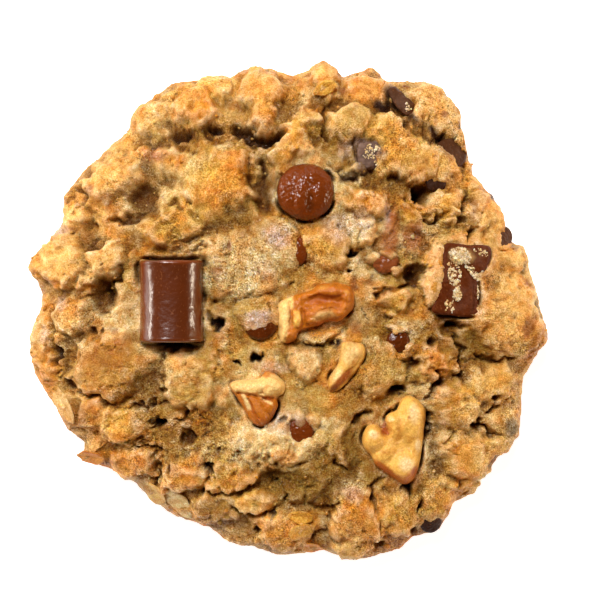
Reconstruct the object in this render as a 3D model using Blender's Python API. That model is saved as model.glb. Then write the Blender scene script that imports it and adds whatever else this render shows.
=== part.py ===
"""Monster cookie: a thick, craggy oat cookie with chocolate and walnut pieces set in its top.

Lengths are in millimetres until make_object() turns them into metres. Seen from above, X points
right and Y away; Z is up. The origin is the middle of the flat underside.
"""

import math

import bmesh
import bpy
import numpy as np
from mathutils import Vector, noise

MM = 0.001
GAP = 0.3  # air between a topping and the socket that holds it

# The slab of dough.
CROWN_HEIGHT = 18.0  # middle of the top, before its lumps
RIM_HEIGHT = 6.5  # where the rim reaches furthest out
CROWN_POWER = 3.2  # how long the top stays level before it falls to the rim
CROWN_ROUND = 0.6  # how round it falls
MEAN_RADIUS = 52.0
RIM_FADE = 0.12  # share of the radius over which lumps die out towards the rim
TOP_CELLS = 54  # cells of the top's mesh across the cookie
SIDE_RINGS = ((0.5, 0.62), (1.8, 0.25), (3.4, 0.0))  # how far each ring goes in, share of the rim's height
FOOT_SPREAD = 9.0  # degrees to each side over which the side's lower part evens out the outline
ROUGHNESS = 0.8  # height of the small unevenness all over the dough
ROUGH_SIZE = 4.5  # its width

# Corners of the cookie's outline, clockwise from the top left.
OUTLINE = (
    (-25.0, 47.9), (-19.3, 48.6), (-12.4, 48.8), (-9.7, 50.6), (-2.5, 50.6), (0.8, 49.6),
    (5.9, 51.4), (7.6, 52.6), (9.5, 50.9), (11.0, 49.1), (17.9, 50.9), (20.5, 48.3),
    (25.1, 48.5), (32.0, 45.5), (35.5, 41.3), (37.3, 36.2), (38.3, 28.1), (42.2, 24.5),
    (46.3, 15.0), (49.1, 13.0), (50.9, 8.2), (53.2, -0.8), (54.6, -6.5), (52.0, -9.8),
    (49.4, -14.3), (49.2, -18.0), (48.4, -26.8), (45.1, -30.1), (40.7, -35.8), (39.5, -39.0),
    (35.0, -41.0), (32.0, -46.7), (26.2, -48.2), (23.6, -50.7), (15.8, -52.6), (9.8, -52.0),
    (7.0, -50.8), (-1.9, -52.0), (-7.9, -50.0), (-12.7, -49.3), (-17.5, -45.7), (-24.1, -43.9),
    (-29.5, -40.0), (-32.5, -37.0), (-37.0, -33.4), (-43.9, -32.2), (-43.4, -28.2), (-46.7, -25.4),
    (-49.3, -20.5), (-53.8, -13.4), (-54.6, -6.2), (-52.6, -0.5), (-52.2, 3.0), (-54.2, 8.8),
    (-50.6, 14.9), (-47.5, 19.1), (-47.9, 23.9), (-40.8, 31.4), (-34.3, 37.4), (-31.3, 42.5),
)

# Lumps of dough: x, y, half length, half width, turn in degrees, rise.
LUMPS = (
    (-37.0, 26.5, 7.5, 6.0, 35, 3.2), (-20.0, 42.0, 5.5, 4.5, 0, 2.6), (-29.0, 40.5, 5.0, 4.0, 30, 2.0),
    (-15.0, 46.0, 5.0, 3.5, 0, 2.2), (-5.5, 44.5, 5.5, 5.0, 0, 2.8), (7.5, 48.0, 3.5, 3.5, 0, 2.2),
    (16.0, 45.5, 6.5, 5.0, 0, 2.8), (30.0, 42.0, 8.0, 6.5, -45, 3.0), (1.5, 35.0, 4.5, 5.0, 0, 2.4),
    (12.5, 38.5, 5.5, 4.5, 0, 2.4), (20.0, 37.5, 4.0, 4.0, 0, 1.8), (-14.0, 27.5, 8.5, 6.5, 60, 3.6),
    (-24.0, 30.5, 5.0, 4.0, 0, 2.2), (-24.0, 17.0, 7.5, 4.5, 10, 2.4), (-38.0, 10.0, 5.5, 4.5, 0, 3.0),
    (-48.0, 10.0, 6.5, 5.5, 0, 2.8), (-45.0, -1.0, 4.5, 4.0, 0, 2.2), (-37.0, -11.5, 10.0, 7.5, 15, 3.2),
    (-50.0, -8.0, 4.5, 7.0, 0, 1.8), (-34.5, -24.5, 6.5, 5.0, 0, 2.4), (-33.0, -32.5, 7.0, 3.5, 25, 2.2),
    (-22.0, -34.0, 5.0, 4.5, 0, 3.0), (-13.0, -34.5, 5.0, 4.0, 0, 2.6), (-15.0, -41.5, 6.5, 4.5, 15, 2.2),
    (-7.5, -40.0, 4.0, 3.5, 0, 2.0), (-2.0, -46.0, 7.0, 5.0, 0, 2.6), (3.0, -36.5, 5.5, 4.5, 0, 2.4),
    (-3.0, -27.0, 12.0, 6.5, 0, 2.2), (14.0, -43.5, 6.5, 6.0, 0, 3.2), (23.0, -42.5, 5.5, 5.0, 0, 2.4),
    (31.0, -40.0, 5.0, 5.0, 0, 2.0), (36.5, -31.0, 7.0, 6.0, -40, 3.0), (43.5, -26.0, 4.5, 4.0, 0, 1.8),
    (35.0, -20.5, 6.5, 5.5, 0, 2.6), (42.0, -15.5, 6.5, 5.0, 0, 2.4), (30.0, -11.0, 5.0, 4.5, 0, 2.0),
    (46.0, -2.0, 8.0, 9.0, 0, 2.6), (25.0, 31.0, 8.0, 6.5, -20, 3.0), (16.0, 22.5, 5.0, 4.0, 0, 2.2),
    (32.0, 21.0, 4.5, 4.0, 0, 2.2), (41.5, 20.0, 5.0, 4.5, 0, 2.2), (47.5, 10.5, 3.5, 4.0, 0, 1.8),
    (-10.0, 9.0, 11.0, 9.0, 0, 2.4), (8.0, 13.0, 6.0, 5.0, 0, 2.2), (19.0, -12.0, 7.0, 5.5, 0, 2.2),
    (3.0, -12.0, 5.0, 4.0, 0, 2.2), (21.5, 2.0, 5.0, 4.0, 0, 2.0), (-20.0, -16.0, 7.0, 6.0, 0, 2.2),
)

# Hollows in the dough: x, y, half length, half width, turn in degrees, depth.
HOLLOWS = (
    (-24.3, 1.5, 10.0, 12.5, 0, 3.2), (3.5, 24.0, 8.5, 8.0, 0, 1.6), (22.5, -27.0, 11.0, 7.5, 60, 2.4),
    (35.5, 5.5, 7.5, 9.5, 0, 1.8), (-6.5, -19.0, 8.0, 6.0, 45, 1.6), (6.0, 0.5, 9.0, 7.5, 0, 1.2),
    (-6.5, 23.5, 2.6, 5.5, 10, 4.5), (-30.5, 23.0, 4.0, 5.5, 30, 2.4), (-38.5, 2.5, 3.6, 4.2, 0, 3.4),
    (28.0, 23.6, 2.4, 3.0, 0, 4.5), (26.0, 7.0, 3.0, 2.6, 0, 3.2), (34.0, -3.5, 3.0, 2.4, 0, 3.0),
    (-15.3, -2.3, 1.9, 1.9, 0, 3.0), (-7.0, -9.8, 2.6, 1.9, 0, 3.2), (-27.3, -23.6, 2.2, 2.4, 0, 3.2),
    (13.6, 10.4, 2.4, 2.0, 0, 2.6), (24.6, -37.6, 2.2, 2.2, 0, 2.8), (-20.6, -27.4, 2.6, 2.4, 0, 2.2),
)

# Cracks between lumps: half width, depth, then the points that the crack runs through.
CRACKS = (
    (1.6, 2.4, (-49.8, 0.0), (-48.6, -7.0), (-48.8, -13.0)),
    (1.6, 2.6, (-36.0, 18.5), (-32.0, 19.0), (-28.5, 23.0), (-28.5, 28.5)),
    (1.5, 2.2, (-24.0, 36.6), (-18.0, 37.4), (-12.5, 38.2), (-4.5, 34.5), (-1.0, 37.5)),
    (1.5, 2.4, (-42.5, 18.5), (-40.0, 15.5), (-42.0, 12.5)),
    (1.6, 2.2, (13.8, 34.5), (14.0, 31.0), (11.0, 28.6)),
    (1.5, 2.0, (8.5, 44.0), (7.5, 36.0)),
    (1.5, 2.0, (18.5, 27.5), (25.0, 25.0), (29.0, 18.5), (34.0, 19.0)),
    (1.5, 2.0, (20.0, -4.0), (27.0, -5.0), (34.5, -7.0), (35.0, -14.5)),
    (1.5, 2.0, (13.0, -23.0), (11.8, -30.0), (14.5, -36.0)),
    (1.4, 2.0, (-12.0, -38.0), (-5.5, -42.5), (-1.0, -41.0), (9.0, -41.0)),
    (1.5, 2.2, (32.0, -27.5), (40.0, -24.0), (44.5, -21.0)),
    (1.5, 2.0, (27.0, -37.5), (27.5, -45.0)),
    (1.5, 2.0, (-41.0, -19.0), (-34.0, -20.0), (-27.0, -20.0), (-21.5, -22.5)),
    (1.4, 2.0, (-27.0, -38.5), (-27.8, -30.0)),
    (1.4, 2.0, (-26.0, -9.5), (-26.5, -17.0)),
    (1.5, 2.2, (2.0, -6.5), (9.5, -7.5), (12.0, -5.5)),
)

# The chocolate roll lies on its side in the dough, along Y.
ROLL_CENTRE = (-24.3, 1.65, 15.4)
ROLL_RADIUS = 6.7
ROLL_LENGTH = 16.8
ROLL_WAIST = 0.12  # how much thinner the roll is halfway along
ROLL_EDGE = 0.6  # rounding of its two ends
ROLL_SIDES = 36

PIECE_SIDES = 24
CHIP_SIDES = 14
MOST_SLOPE = 0.9  # the steepest that a topping lies
CUTTER_TOP = 40.0  # well above everything

# Shares of a piece's outline and height at each level, from its foot to just under its crown.
NUT_LEVELS = ((0.72, 0.0), (0.94, 0.3), (1.0, 0.58), (0.9, 0.8), (0.66, 0.94))
DROP_LEVELS = ((0.7, 0.0), (0.94, 0.18), (1.0, 0.38), (0.93, 0.64), (0.74, 0.84), (0.42, 0.96))
CHIP_LEVELS = ((0.78, 0.0), (1.0, 0.45), (0.86, 0.85))
BLOCK_LEVELS = ((0.94, 0.0), (1.0, 0.12), (1.0, 0.93), (0.93, 1.0))

# Outlines of the larger toppings, as seen from above.
CHUNK_OUTLINE = (
    (32.3, 13.4), (41.8, 12.8), (41.0, 8.4), (39.2, 7.0), (39.4, 0.2), (38.7, -1.6), (29.7, -0.5), (31.4, 6.5),
)
CENTRE_NUT_OUTLINE = (
    (-2.3, 1.2), (0.6, 2.7), (5.0, 4.9), (11.5, 5.3), (13.4, 2.0), (12.0, -1.2),
    (8.0, -2.4), (4.0, -4.6), (-0.6, -7.0), (-2.1, -3.0),
)
SMALL_NUT_OUTLINE = (
    (-12.3, -15.8), (-8.5, -14.3), (-4.2, -12.7), (-0.8, -16.0), (-2.4, -19.0), (-4.6, -23.9),
    (-6.2, -24.3), (-9.5, -19.8),
)
LARGE_NUT_OUTLINE = (
    (25.0, -17.9), (28.2, -21.0), (28.0, -26.0), (26.8, -33.0), (24.2, -36.3), (20.0, -33.8),
    (16.0, -29.2), (15.3, -26.0), (17.6, -23.7), (20.3, -25.6), (20.2, -22.0), (22.7, -20.6),
)
SLIVER_OUTLINE = (
    (11.0, -7.0), (15.5, -7.4), (15.9, -9.4), (14.2, -12.6), (11.2, -16.0), (8.2, -17.0), (8.3, -14.2),
)
BLOOMED_OUTLINE = ((14.6, 34.0), (18.5, 34.5), (20.6, 31.8), (18.0, 29.0), (14.4, 30.2))
NORTH_OUTLINE = ((20.7, 46.2), (24.0, 44.8), (26.6, 42.0), (25.0, 40.0), (22.2, 42.6))
TOFFEE_OUTLINE = ((17.2, 10.8), (22.4, 10.6), (21.6, 8.0), (18.6, 7.6))

# Linear colour, roughness.
DOUGH_LOOK = ((0.62, 0.33, 0.11), 0.6)
CHOCOLATE_LOOK = ((0.085, 0.022, 0.008), 0.35)
BLOOM_LOOK = ((0.19, 0.1, 0.07), 0.6)
WALNUT_LOOK = ((0.68, 0.36, 0.1), 0.5)
TOFFEE_LOOK = ((0.3, 0.07, 0.02), 0.3)


def clear_scene():
    for thing in list(bpy.data.objects):
        bpy.data.objects.remove(thing, do_unlink=True)


def make_material(name, look):
    colour, roughness = look
    material = bpy.data.materials.new(name)
    material.use_nodes = True
    shader = material.node_tree.nodes["Principled BSDF"]
    shader.inputs["Base Color"].default_value = (*colour, 1.0)
    shader.inputs["Roughness"].default_value = roughness
    shader.inputs["Metallic"].default_value = 0.0
    return material


def make_object(name, bm, material):
    """An object in metres from a bmesh in millimetres, smooth but for its sharp edges."""
    bmesh.ops.scale(bm, vec=(MM, MM, MM), verts=bm.verts)
    bmesh.ops.recalc_face_normals(bm, faces=bm.faces)
    mesh = bpy.data.meshes.new(name)
    bm.to_mesh(mesh)
    bm.free()
    mesh.shade_smooth()
    mesh.set_sharp_from_angle(angle=math.radians(50))
    made = bpy.data.objects.new(name, mesh)
    bpy.context.scene.collection.objects.link(made)
    if material:
        mesh.materials.append(material)
    return made


# ---- the dough's form ----


def smooth_step(share):
    share = np.clip(share, 0.0, 1.0)
    return share * share * (3.0 - 2.0 * share)


def outline_radius(angle):
    """Distance from the middle to the outline in the direction of each angle."""
    corners = np.array(OUTLINE)
    angles = np.arctan2(corners[:, 1], corners[:, 0])
    order = np.argsort(angles)
    radii = np.hypot(corners[:, 0], corners[:, 1])[order]
    return np.interp(angle, angles[order], radii, period=2.0 * math.pi)


def local_distance(x, y, feature):
    """How far each point is from a feature's middle, as a share of its half sizes."""
    centre_x, centre_y, half_length, half_width, turn = feature[:5]
    cos, sin = math.cos(math.radians(turn)), math.sin(math.radians(turn))
    along = (x - centre_x) * cos + (y - centre_y) * sin
    across = (y - centre_y) * cos - (x - centre_x) * sin
    return np.hypot(along / half_length, across / half_width)


def distance_to_path(x, y, points):
    """Distance from each point to the nearest stretch of an open path."""
    nearest = np.full(x.shape, np.inf)
    for (x0, y0), (x1, y1) in zip(points, points[1:]):
        run_x, run_y = x1 - x0, y1 - y0
        share = ((x - x0) * run_x + (y - y0) * run_y) / (run_x**2 + run_y**2)
        share = np.clip(share, 0.0, 1.0)
        nearest = np.minimum(nearest, np.hypot(x - x0 - share * run_x, y - y0 - share * run_y))
    return nearest


def crown_height(x, y):
    """The smooth crown of the cookie, level in the middle and falling to the rim."""
    share = np.hypot(x, y) / outline_radius(np.arctan2(y, x))
    fall = np.clip(1.0 - np.minimum(share, 1.0) ** CROWN_POWER, 0.0, 1.0)
    return RIM_HEIGHT + (CROWN_HEIGHT - RIM_HEIGHT) * fall**CROWN_ROUND


def lump_height(x, y):
    """The upper envelope of the lumps, so that neighbours meet in a crease."""
    height = np.zeros(x.shape)
    for lump in LUMPS:
        dome = 1.0 - local_distance(x, y, lump) ** 2
        height = np.maximum(height, lump[5] * np.sqrt(np.clip(dome, 0.0, 1.0)))
    return height


def carved_depth(x, y):
    """How much the hollows and cracks take away."""
    depth = np.zeros(x.shape)
    for hollow in HOLLOWS:
        bowl = np.clip(1.0 - local_distance(x, y, hollow) ** 2, 0.0, 1.0)
        depth = np.maximum(depth, hollow[5] * smooth_step(bowl))
    for half_width, crack_depth, *points in CRACKS:
        share = 1.0 - distance_to_path(x, y, points) / half_width
        depth = np.maximum(depth, crack_depth * np.clip(share, 0.0, 1.0))
    return depth


def small_unevenness(x, y):
    """Smooth noise all over the dough."""
    places = zip(x / ROUGH_SIZE, y / ROUGH_SIZE)
    return ROUGHNESS * np.array([noise.noise(Vector((px, py, 0.0))) for px, py in places])


def dough_height(x, y):
    """Height of the dough's top at each point."""
    share = np.hypot(x, y) / outline_radius(np.arctan2(y, x))
    inside = smooth_step((1.0 - share) / RIM_FADE)
    relief = lump_height(x, y) - carved_depth(x, y) + small_unevenness(x, y)
    return crown_height(x, y) + inside * relief


def disc_places(a, b):
    """Spreads the square -1..1 evenly over the cookie's outline."""
    wide = np.abs(a) > np.abs(b)
    radius = np.where(wide, a, b)
    with np.errstate(divide="ignore", invalid="ignore"):
        angle = np.where(wide, math.pi / 4 * b / a, math.pi / 2 - math.pi / 4 * a / b)
    angle = np.where(radius == 0.0, 0.0, angle)
    x, y = radius * np.cos(angle), radius * np.sin(angle)
    share = np.abs(radius)
    reach = MEAN_RADIUS + smooth_step(share) * (outline_radius(np.arctan2(y, x)) - MEAN_RADIUS)
    return x * reach, y * reach


def foot_radius(angle):
    """The outline's distance with its small corners worn away, for the lower part of the side."""
    nearby = np.radians(np.linspace(-FOOT_SPREAD, FOOT_SPREAD, 9))
    return outline_radius(angle + nearby).mean()


def add_side(bm):
    """Takes the rim down and in to the flat underside, ring by ring, and closes it."""
    edges = [edge for edge in bm.edges if edge.is_boundary]
    rim_height = {}
    for inset, height_share in SIDE_RINGS:
        grown = bmesh.ops.extrude_edge_only(bm, edges=edges)["geom"]
        edges = [item for item in grown if isinstance(item, bmesh.types.BMEdge) and item.is_boundary]
        for vert in {vert for edge in edges for vert in edge.verts}:
            angle = math.atan2(vert.co.y, vert.co.x)
            top = rim_height.setdefault(round(angle, 4), vert.co.z)
            reach = min(foot_radius(angle), outline_radius(angle)) - inset
            side = Vector((math.cos(angle), math.sin(angle), 0.0))
            reach += height_share * noise.noise((side * reach + Vector((0.0, 0.0, inset))) / ROUGH_SIZE)
            vert.co = side * reach
            vert.co.z = top * height_share
    bmesh.ops.edgeloop_fill(bm, edges=edges)


def make_dough(material):
    bm = bmesh.new()
    bmesh.ops.create_grid(bm, x_segments=TOP_CELLS, y_segments=TOP_CELLS, size=1.0)
    square = np.array([vert.co for vert in bm.verts])
    x, y = disc_places(square[:, 0], square[:, 1])
    for vert, place in zip(bm.verts, zip(x, y, dough_height(x, y))):
        vert.co = place
    add_side(bm)
    bmesh.ops.triangulate(bm, faces=bm.faces, quad_method="SHORT_EDGE")
    return make_object("cookie_dough", bm, material)


# ---- the toppings ----


def round_outline(x, y, radius, sides):
    turns = [2.0 * math.pi * step / sides for step in range(sides)]
    return [(x + radius * math.cos(turn), y + radius * math.sin(turn)) for turn in turns]


def smooth_outline(corners, sides):
    """A closed curve through the corners, as evenly many points as asked."""
    count = len(corners)
    points = []
    for step in range(sides):
        at = step * count / sides
        index, share = int(at), at - int(at)
        p0, p1, p2, p3 = (Vector(corners[(index + shift) % count]) for shift in (-1, 0, 1, 2))
        bend = 2.0 * p1 + (p2 - p0) * share
        bend += (2.0 * p0 - 5.0 * p1 + 4.0 * p2 - p3) * share**2
        bend += (3.0 * p1 - p0 - 3.0 * p2 + p3) * share**3
        points.append(tuple(bend / 2.0))
    return points


def anticlockwise(outline):
    area = sum(x0 * y1 - x1 * y0 for (x0, y0), (x1, y1) in zip(outline, outline[1:] + outline[:1]))
    return outline if area > 0.0 else outline[::-1]


def loft(outline, levels, tilt, crown):
    """A closed bmesh of scaled copies of an outline, one a level, with a point at each end."""
    outline = anticlockwise(list(outline))
    bm = bmesh.new()
    middle_x = sum(point[0] for point in outline) / len(outline)
    middle_y = sum(point[1] for point in outline) / len(outline)
    rings = []
    sides = len(outline)
    for grow, share, height in levels:
        ring = []
        for i, (x, y) in enumerate(outline):
            before, after = Vector(outline[i - 1]), Vector(outline[(i + 1) % sides])
            along = (after - before).normalized()
            off_x = (x - middle_x) * share + along.y * grow
            off_y = (y - middle_y) * share - along.x * grow
            lift = tilt[0] * off_x + tilt[1] * off_y
            ring.append(bm.verts.new((middle_x + off_x, middle_y + off_y, height + lift)))
        rings.append(ring)
    for lower, upper in zip(rings, rings[1:]):
        for i in range(sides):
            j = (i + 1) % sides
            bm.faces.new((lower[i], lower[j], upper[j], upper[i]))
    foot = bm.verts.new((middle_x, middle_y, levels[0][2]))
    peak = bm.verts.new((middle_x, middle_y, levels[-1][2] + crown))
    for i in range(sides):
        j = (i + 1) % sides
        bm.faces.new((rings[0][j], rings[0][i], foot))
        bm.faces.new((rings[-1][i], rings[-1][j], peak))
    bmesh.ops.triangulate(bm, faces=bm.faces)
    return bm


def add_socket(name, bm, cutters):
    cutter = make_object(name + "_socket", bm, None)
    cutter.hide_render = True
    cutter.display_type = "WIRE"
    bpy.context.scene.collection.objects.unlink(cutter)
    cutters.objects.link(cutter)


def crown_slope(x, y):
    """How steeply the crown rises along X and along Y, held to MOST_SLOPE."""
    step = 1.0
    slope = [
        crown_height(x + step, y) - crown_height(x - step, y),
        crown_height(x, y + step) - crown_height(x, y - step),
    ]
    return np.clip(np.array(slope) / (2.0 * step), -MOST_SLOPE, MOST_SLOPE)


def set_piece(name, outline, shape, stand, depth, material, cutters, lean=(0.0, 0.0), crown=0.3):
    """A topping that stands out of the crown by stand and reaches below it by depth, and its socket.

    It lies along the crown, and leans from there by the two slopes of lean.
    """
    middle = np.mean(np.array(outline), axis=0)
    level = float(crown_height(middle[0], middle[1]))
    tilt = crown_slope(middle[0], middle[1]) + np.array(lean)
    foot, height = level - depth, depth + stand - crown
    levels = [(0.0, share, foot + height * up) for share, up in shape]
    make_object(name, loft(outline, levels, tilt, crown), material)
    widest = max(range(len(shape)), key=lambda index: shape[index][0])
    socket = [(GAP, share, foot + height * up) for share, up in shape[: widest + 1]]
    socket[0] = (GAP, shape[0][0], foot - GAP)
    socket.append((GAP, 1.0, CUTTER_TOP))
    add_socket(name, loft(outline, socket, tilt, 0.0), cutters)


def roll_profile():
    """Half profile of the roll from one end's middle to the other's: distance along, radius."""
    half = ROLL_LENGTH / 2
    waist = ROLL_RADIUS - ROLL_WAIST
    return (
        (-half, 0.0), (-half, ROLL_RADIUS - ROLL_EDGE), (-half + ROLL_EDGE, ROLL_RADIUS), (0.0, waist),
        (half - ROLL_EDGE, ROLL_RADIUS), (half, ROLL_RADIUS - ROLL_EDGE), (half, 0.0),
    )


def make_roll(material, cutters):
    centre = Vector(ROLL_CENTRE)
    bm = bmesh.new()
    line = [bm.verts.new(centre + Vector((0.0, along, radius))) for along, radius in roll_profile()]
    edges = [bm.edges.new(pair) for pair in zip(line, line[1:])]
    bmesh.ops.spin(
        bm, geom=line + edges, cent=centre, axis=(0.0, 1.0, 0.0), angle=2.0 * math.pi, steps=ROLL_SIDES,
        use_merge=True,
    )
    bmesh.ops.remove_doubles(bm, verts=bm.verts, dist=0.001)
    bmesh.ops.triangulate(bm, faces=bm.faces)
    make_object("chocolate_roll", bm, material)

    bm = bmesh.new()
    radius, half = ROLL_RADIUS + GAP, ROLL_LENGTH / 2 + GAP
    turns = [math.pi + math.pi * step / (ROLL_SIDES // 2) for step in range(ROLL_SIDES // 2 + 1)]
    arc = [(radius * math.cos(turn), centre.z + radius * math.sin(turn)) for turn in turns]
    arc += [(radius, CUTTER_TOP), (-radius, CUTTER_TOP)]
    end = bm.faces.new([bm.verts.new((centre.x + x, centre.y - half, z)) for x, z in arc])
    grown = bmesh.ops.extrude_face_region(bm, geom=[end])["geom"]
    moved = [item for item in grown if isinstance(item, bmesh.types.BMVert)]
    bmesh.ops.translate(bm, vec=(0.0, 2.0 * half, 0.0), verts=moved)
    add_socket("chocolate_roll", bm, cutters)


def make_chips(material, cutters):
    """Smaller chocolate drops, sunk so far that only their tops show."""
    chips = (  # name, x, y, radius, stand
        ("chip_middle_left", -5.8, -2.8, 3.6, 1.6), ("chip_middle_top", 0.8, 12.2, 3.4, 1.8),
        ("chip_middle_low", 2.3, -25.2, 2.9, 1.8), ("chip_right_top", 33.6, 32.2, 3.4, 1.6),
        ("chip_right", 30.6, 26.4, 2.2, 1.6), ("chip_right_low", 22.6, -6.6, 2.4, 1.6),
        ("chip_rim_right", 44.6, 15.2, 2.3, 1.2), ("chip_rim_low", 29.6, -44.6, 2.3, 1.0),
    )
    for name, x, y, radius, stand in chips:
        outline = round_outline(x, y, radius, CHIP_SIDES)
        set_piece(name, outline, CHIP_LEVELS, stand, radius, material, cutters)


def make_toppings(cutters):
    chocolate = make_material("chocolate", CHOCOLATE_LOOK)
    bloomed = make_material("bloomed_chocolate", BLOOM_LOOK)
    walnut = make_material("walnut", WALNUT_LOOK)
    toffee = make_material("toffee", TOFFEE_LOOK)
    make_roll(chocolate, cutters)
    drop = round_outline(3.45, 24.3, 5.95, PIECE_SIDES)
    set_piece("chocolate_chip", drop, DROP_LEVELS, 3.4, 3.0, chocolate, cutters)
    set_piece("chocolate_chunk", CHUNK_OUTLINE, BLOCK_LEVELS, 1.8, 7.0, chocolate, cutters, (-0.14, 0.05), 0.2)
    make_chips(chocolate, cutters)
    flat = (("chunk_bloomed", BLOOMED_OUTLINE, bloomed, 2.2), ("chunk_rim_top", NORTH_OUTLINE, chocolate, 1.4))
    for name, corners, material, stand in flat + (("toffee_piece", TOFFEE_OUTLINE, toffee, 2.0),):
        outline = smooth_outline(corners, CHIP_SIDES)
        set_piece(name, outline, CHIP_LEVELS, stand, 3.0, material, cutters)
    nuts = (  # name, corners, stand, depth, tilt
        ("walnut_centre", CENTRE_NUT_OUTLINE, 3.2, 3.0, (0.06, 0.0)),
        ("walnut_small", SMALL_NUT_OUTLINE, 2.4, 3.0, (0.0, 0.04)),
        ("walnut_large", LARGE_NUT_OUTLINE, 3.0, 3.5, (0.0, -0.05)),
        ("walnut_sliver", SLIVER_OUTLINE, 2.2, 2.5, (0.0, 0.05)),
    )
    for name, corners, stand, depth, tilt in nuts:
        outline = smooth_outline(corners, PIECE_SIDES)
        set_piece(name, outline, NUT_LEVELS, stand, depth, walnut, cutters, tilt, 0.4)


def main():
    clear_scene()
    dough = make_dough(make_material("dough", DOUGH_LOOK))
    cutters = bpy.data.collections.new("sockets")
    bpy.context.scene.collection.children.link(cutters)
    make_toppings(cutters)
    sockets = dough.modifiers.new("sockets", "BOOLEAN")
    sockets.operation = "DIFFERENCE"
    sockets.solver = "EXACT"
    sockets.operand_type = "COLLECTION"
    sockets.collection = cutters


main()
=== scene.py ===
"""The looks of the monster cookie: craggy dough, chocolate, walnuts, oat flakes and crumbs.

Lengths are in millimetres until add_piece() turns them into metres. X points right in the
photograph, Y up in it and Z towards its camera; the origin is the middle of the flat underside.
"""

import itertools
import math

import bpy
import numpy as np
from mathutils import Matrix, Vector
from mathutils.kdtree import KDTree


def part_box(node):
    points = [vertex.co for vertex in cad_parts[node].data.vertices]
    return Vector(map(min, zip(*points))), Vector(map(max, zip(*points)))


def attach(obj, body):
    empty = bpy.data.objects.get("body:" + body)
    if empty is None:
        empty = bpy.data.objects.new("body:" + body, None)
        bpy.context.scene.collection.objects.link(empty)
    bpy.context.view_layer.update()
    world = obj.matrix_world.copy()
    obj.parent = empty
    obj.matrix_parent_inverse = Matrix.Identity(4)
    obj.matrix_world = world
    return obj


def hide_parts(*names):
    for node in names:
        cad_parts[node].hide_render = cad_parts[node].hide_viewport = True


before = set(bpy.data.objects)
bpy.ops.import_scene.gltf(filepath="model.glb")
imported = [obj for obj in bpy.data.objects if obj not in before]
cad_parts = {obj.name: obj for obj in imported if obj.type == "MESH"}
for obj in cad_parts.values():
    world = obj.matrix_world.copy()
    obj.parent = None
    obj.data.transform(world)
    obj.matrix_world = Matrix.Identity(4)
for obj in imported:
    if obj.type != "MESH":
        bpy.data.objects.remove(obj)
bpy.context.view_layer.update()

MM = 0.001
MM_PER_PIXEL = 0.21  # of the photograph
ORIGIN_PIXEL = (289.0, 309.0)  # the cookie's middle in the photograph
FRAME_PIXELS = 600.0

# ---- the dough's form, as in the CAD model, with its smaller features added ----

CROWN_HEIGHT = 18.0  # middle of the top, before its lumps
RIM_HEIGHT = 6.5  # where the rim reaches furthest out
CROWN_POWER = 3.2  # how long the top stays level before it falls to the rim
CROWN_ROUND = 0.6  # how round it falls
MEAN_RADIUS = 52.0
RELIEF_MEAN = 1.1  # what the relief adds on the whole
LUMP_GAIN = 1.1  # how much higher the lumps stand than in the CAD model, before their edges wear
RIM_GROWTH = 0.3  # how far the relief moves the outline out
RIM_CALM = 0.72  # share of the relief that the rim loses, where it faces sideways
FOOT_SPREAD = 9.0  # degrees over which the side's lower part evens out the outline
TOP_CELLS = 296  # cells of the dough's mesh across its top
SIDE_RINGS = (  # how far each ring goes in, share of the rim's height
    (-0.1, 0.9), (0.0, 0.78), (0.3, 0.64), (0.8, 0.5), (1.4, 0.36), (2.0, 0.23), (2.7, 0.1), (3.4, 0.0),
)
BANK_REACH = 3.5  # how far round a topping the dough rises or falls to meet it
BANK_LIMIT = 3.0  # the most that it moves there
GAP_DEPTH = 2.2  # of the gaps that open beside toppings
COVER_START = 1.2  # how far below a sunk piece's top the dough that covers it starts
COVER_RISE = 1.7  # how far that dough rises from there

# Corners of the cookie's outline, clockwise from the top left.
OUTLINE = (
    (-25.0, 47.9), (-19.3, 48.6), (-12.4, 48.8), (-9.7, 50.6), (-2.5, 50.6), (0.8, 49.6),
    (5.9, 51.4), (7.6, 52.6), (9.5, 50.9), (11.0, 49.1), (17.9, 50.9), (20.5, 48.3),
    (25.1, 48.5), (32.0, 45.5), (35.5, 41.3), (37.3, 36.2), (38.3, 28.1), (42.2, 24.5),
    (46.3, 15.0), (49.1, 13.0), (50.9, 8.2), (53.2, -0.8), (54.6, -6.5), (52.0, -9.8),
    (49.4, -14.3), (49.2, -18.0), (48.4, -26.8), (45.1, -30.1), (40.7, -35.8), (39.5, -39.0),
    (35.0, -41.0), (32.0, -46.7), (26.2, -48.2), (23.6, -50.7), (15.8, -52.6), (9.8, -52.0),
    (7.0, -50.8), (-1.9, -52.0), (-7.9, -50.0), (-12.7, -49.3), (-17.5, -45.7), (-24.1, -43.9),
    (-29.5, -40.0), (-32.5, -37.0), (-37.0, -33.4), (-43.9, -32.2), (-43.4, -28.2), (-46.7, -25.4),
    (-49.3, -20.5), (-53.8, -13.4), (-54.6, -6.2), (-52.6, -0.5), (-52.2, 3.0), (-54.2, 8.8),
    (-50.6, 14.9), (-47.5, 19.1), (-47.9, 23.9), (-40.8, 31.4), (-34.3, 37.4), (-31.3, 42.5),
)

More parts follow.
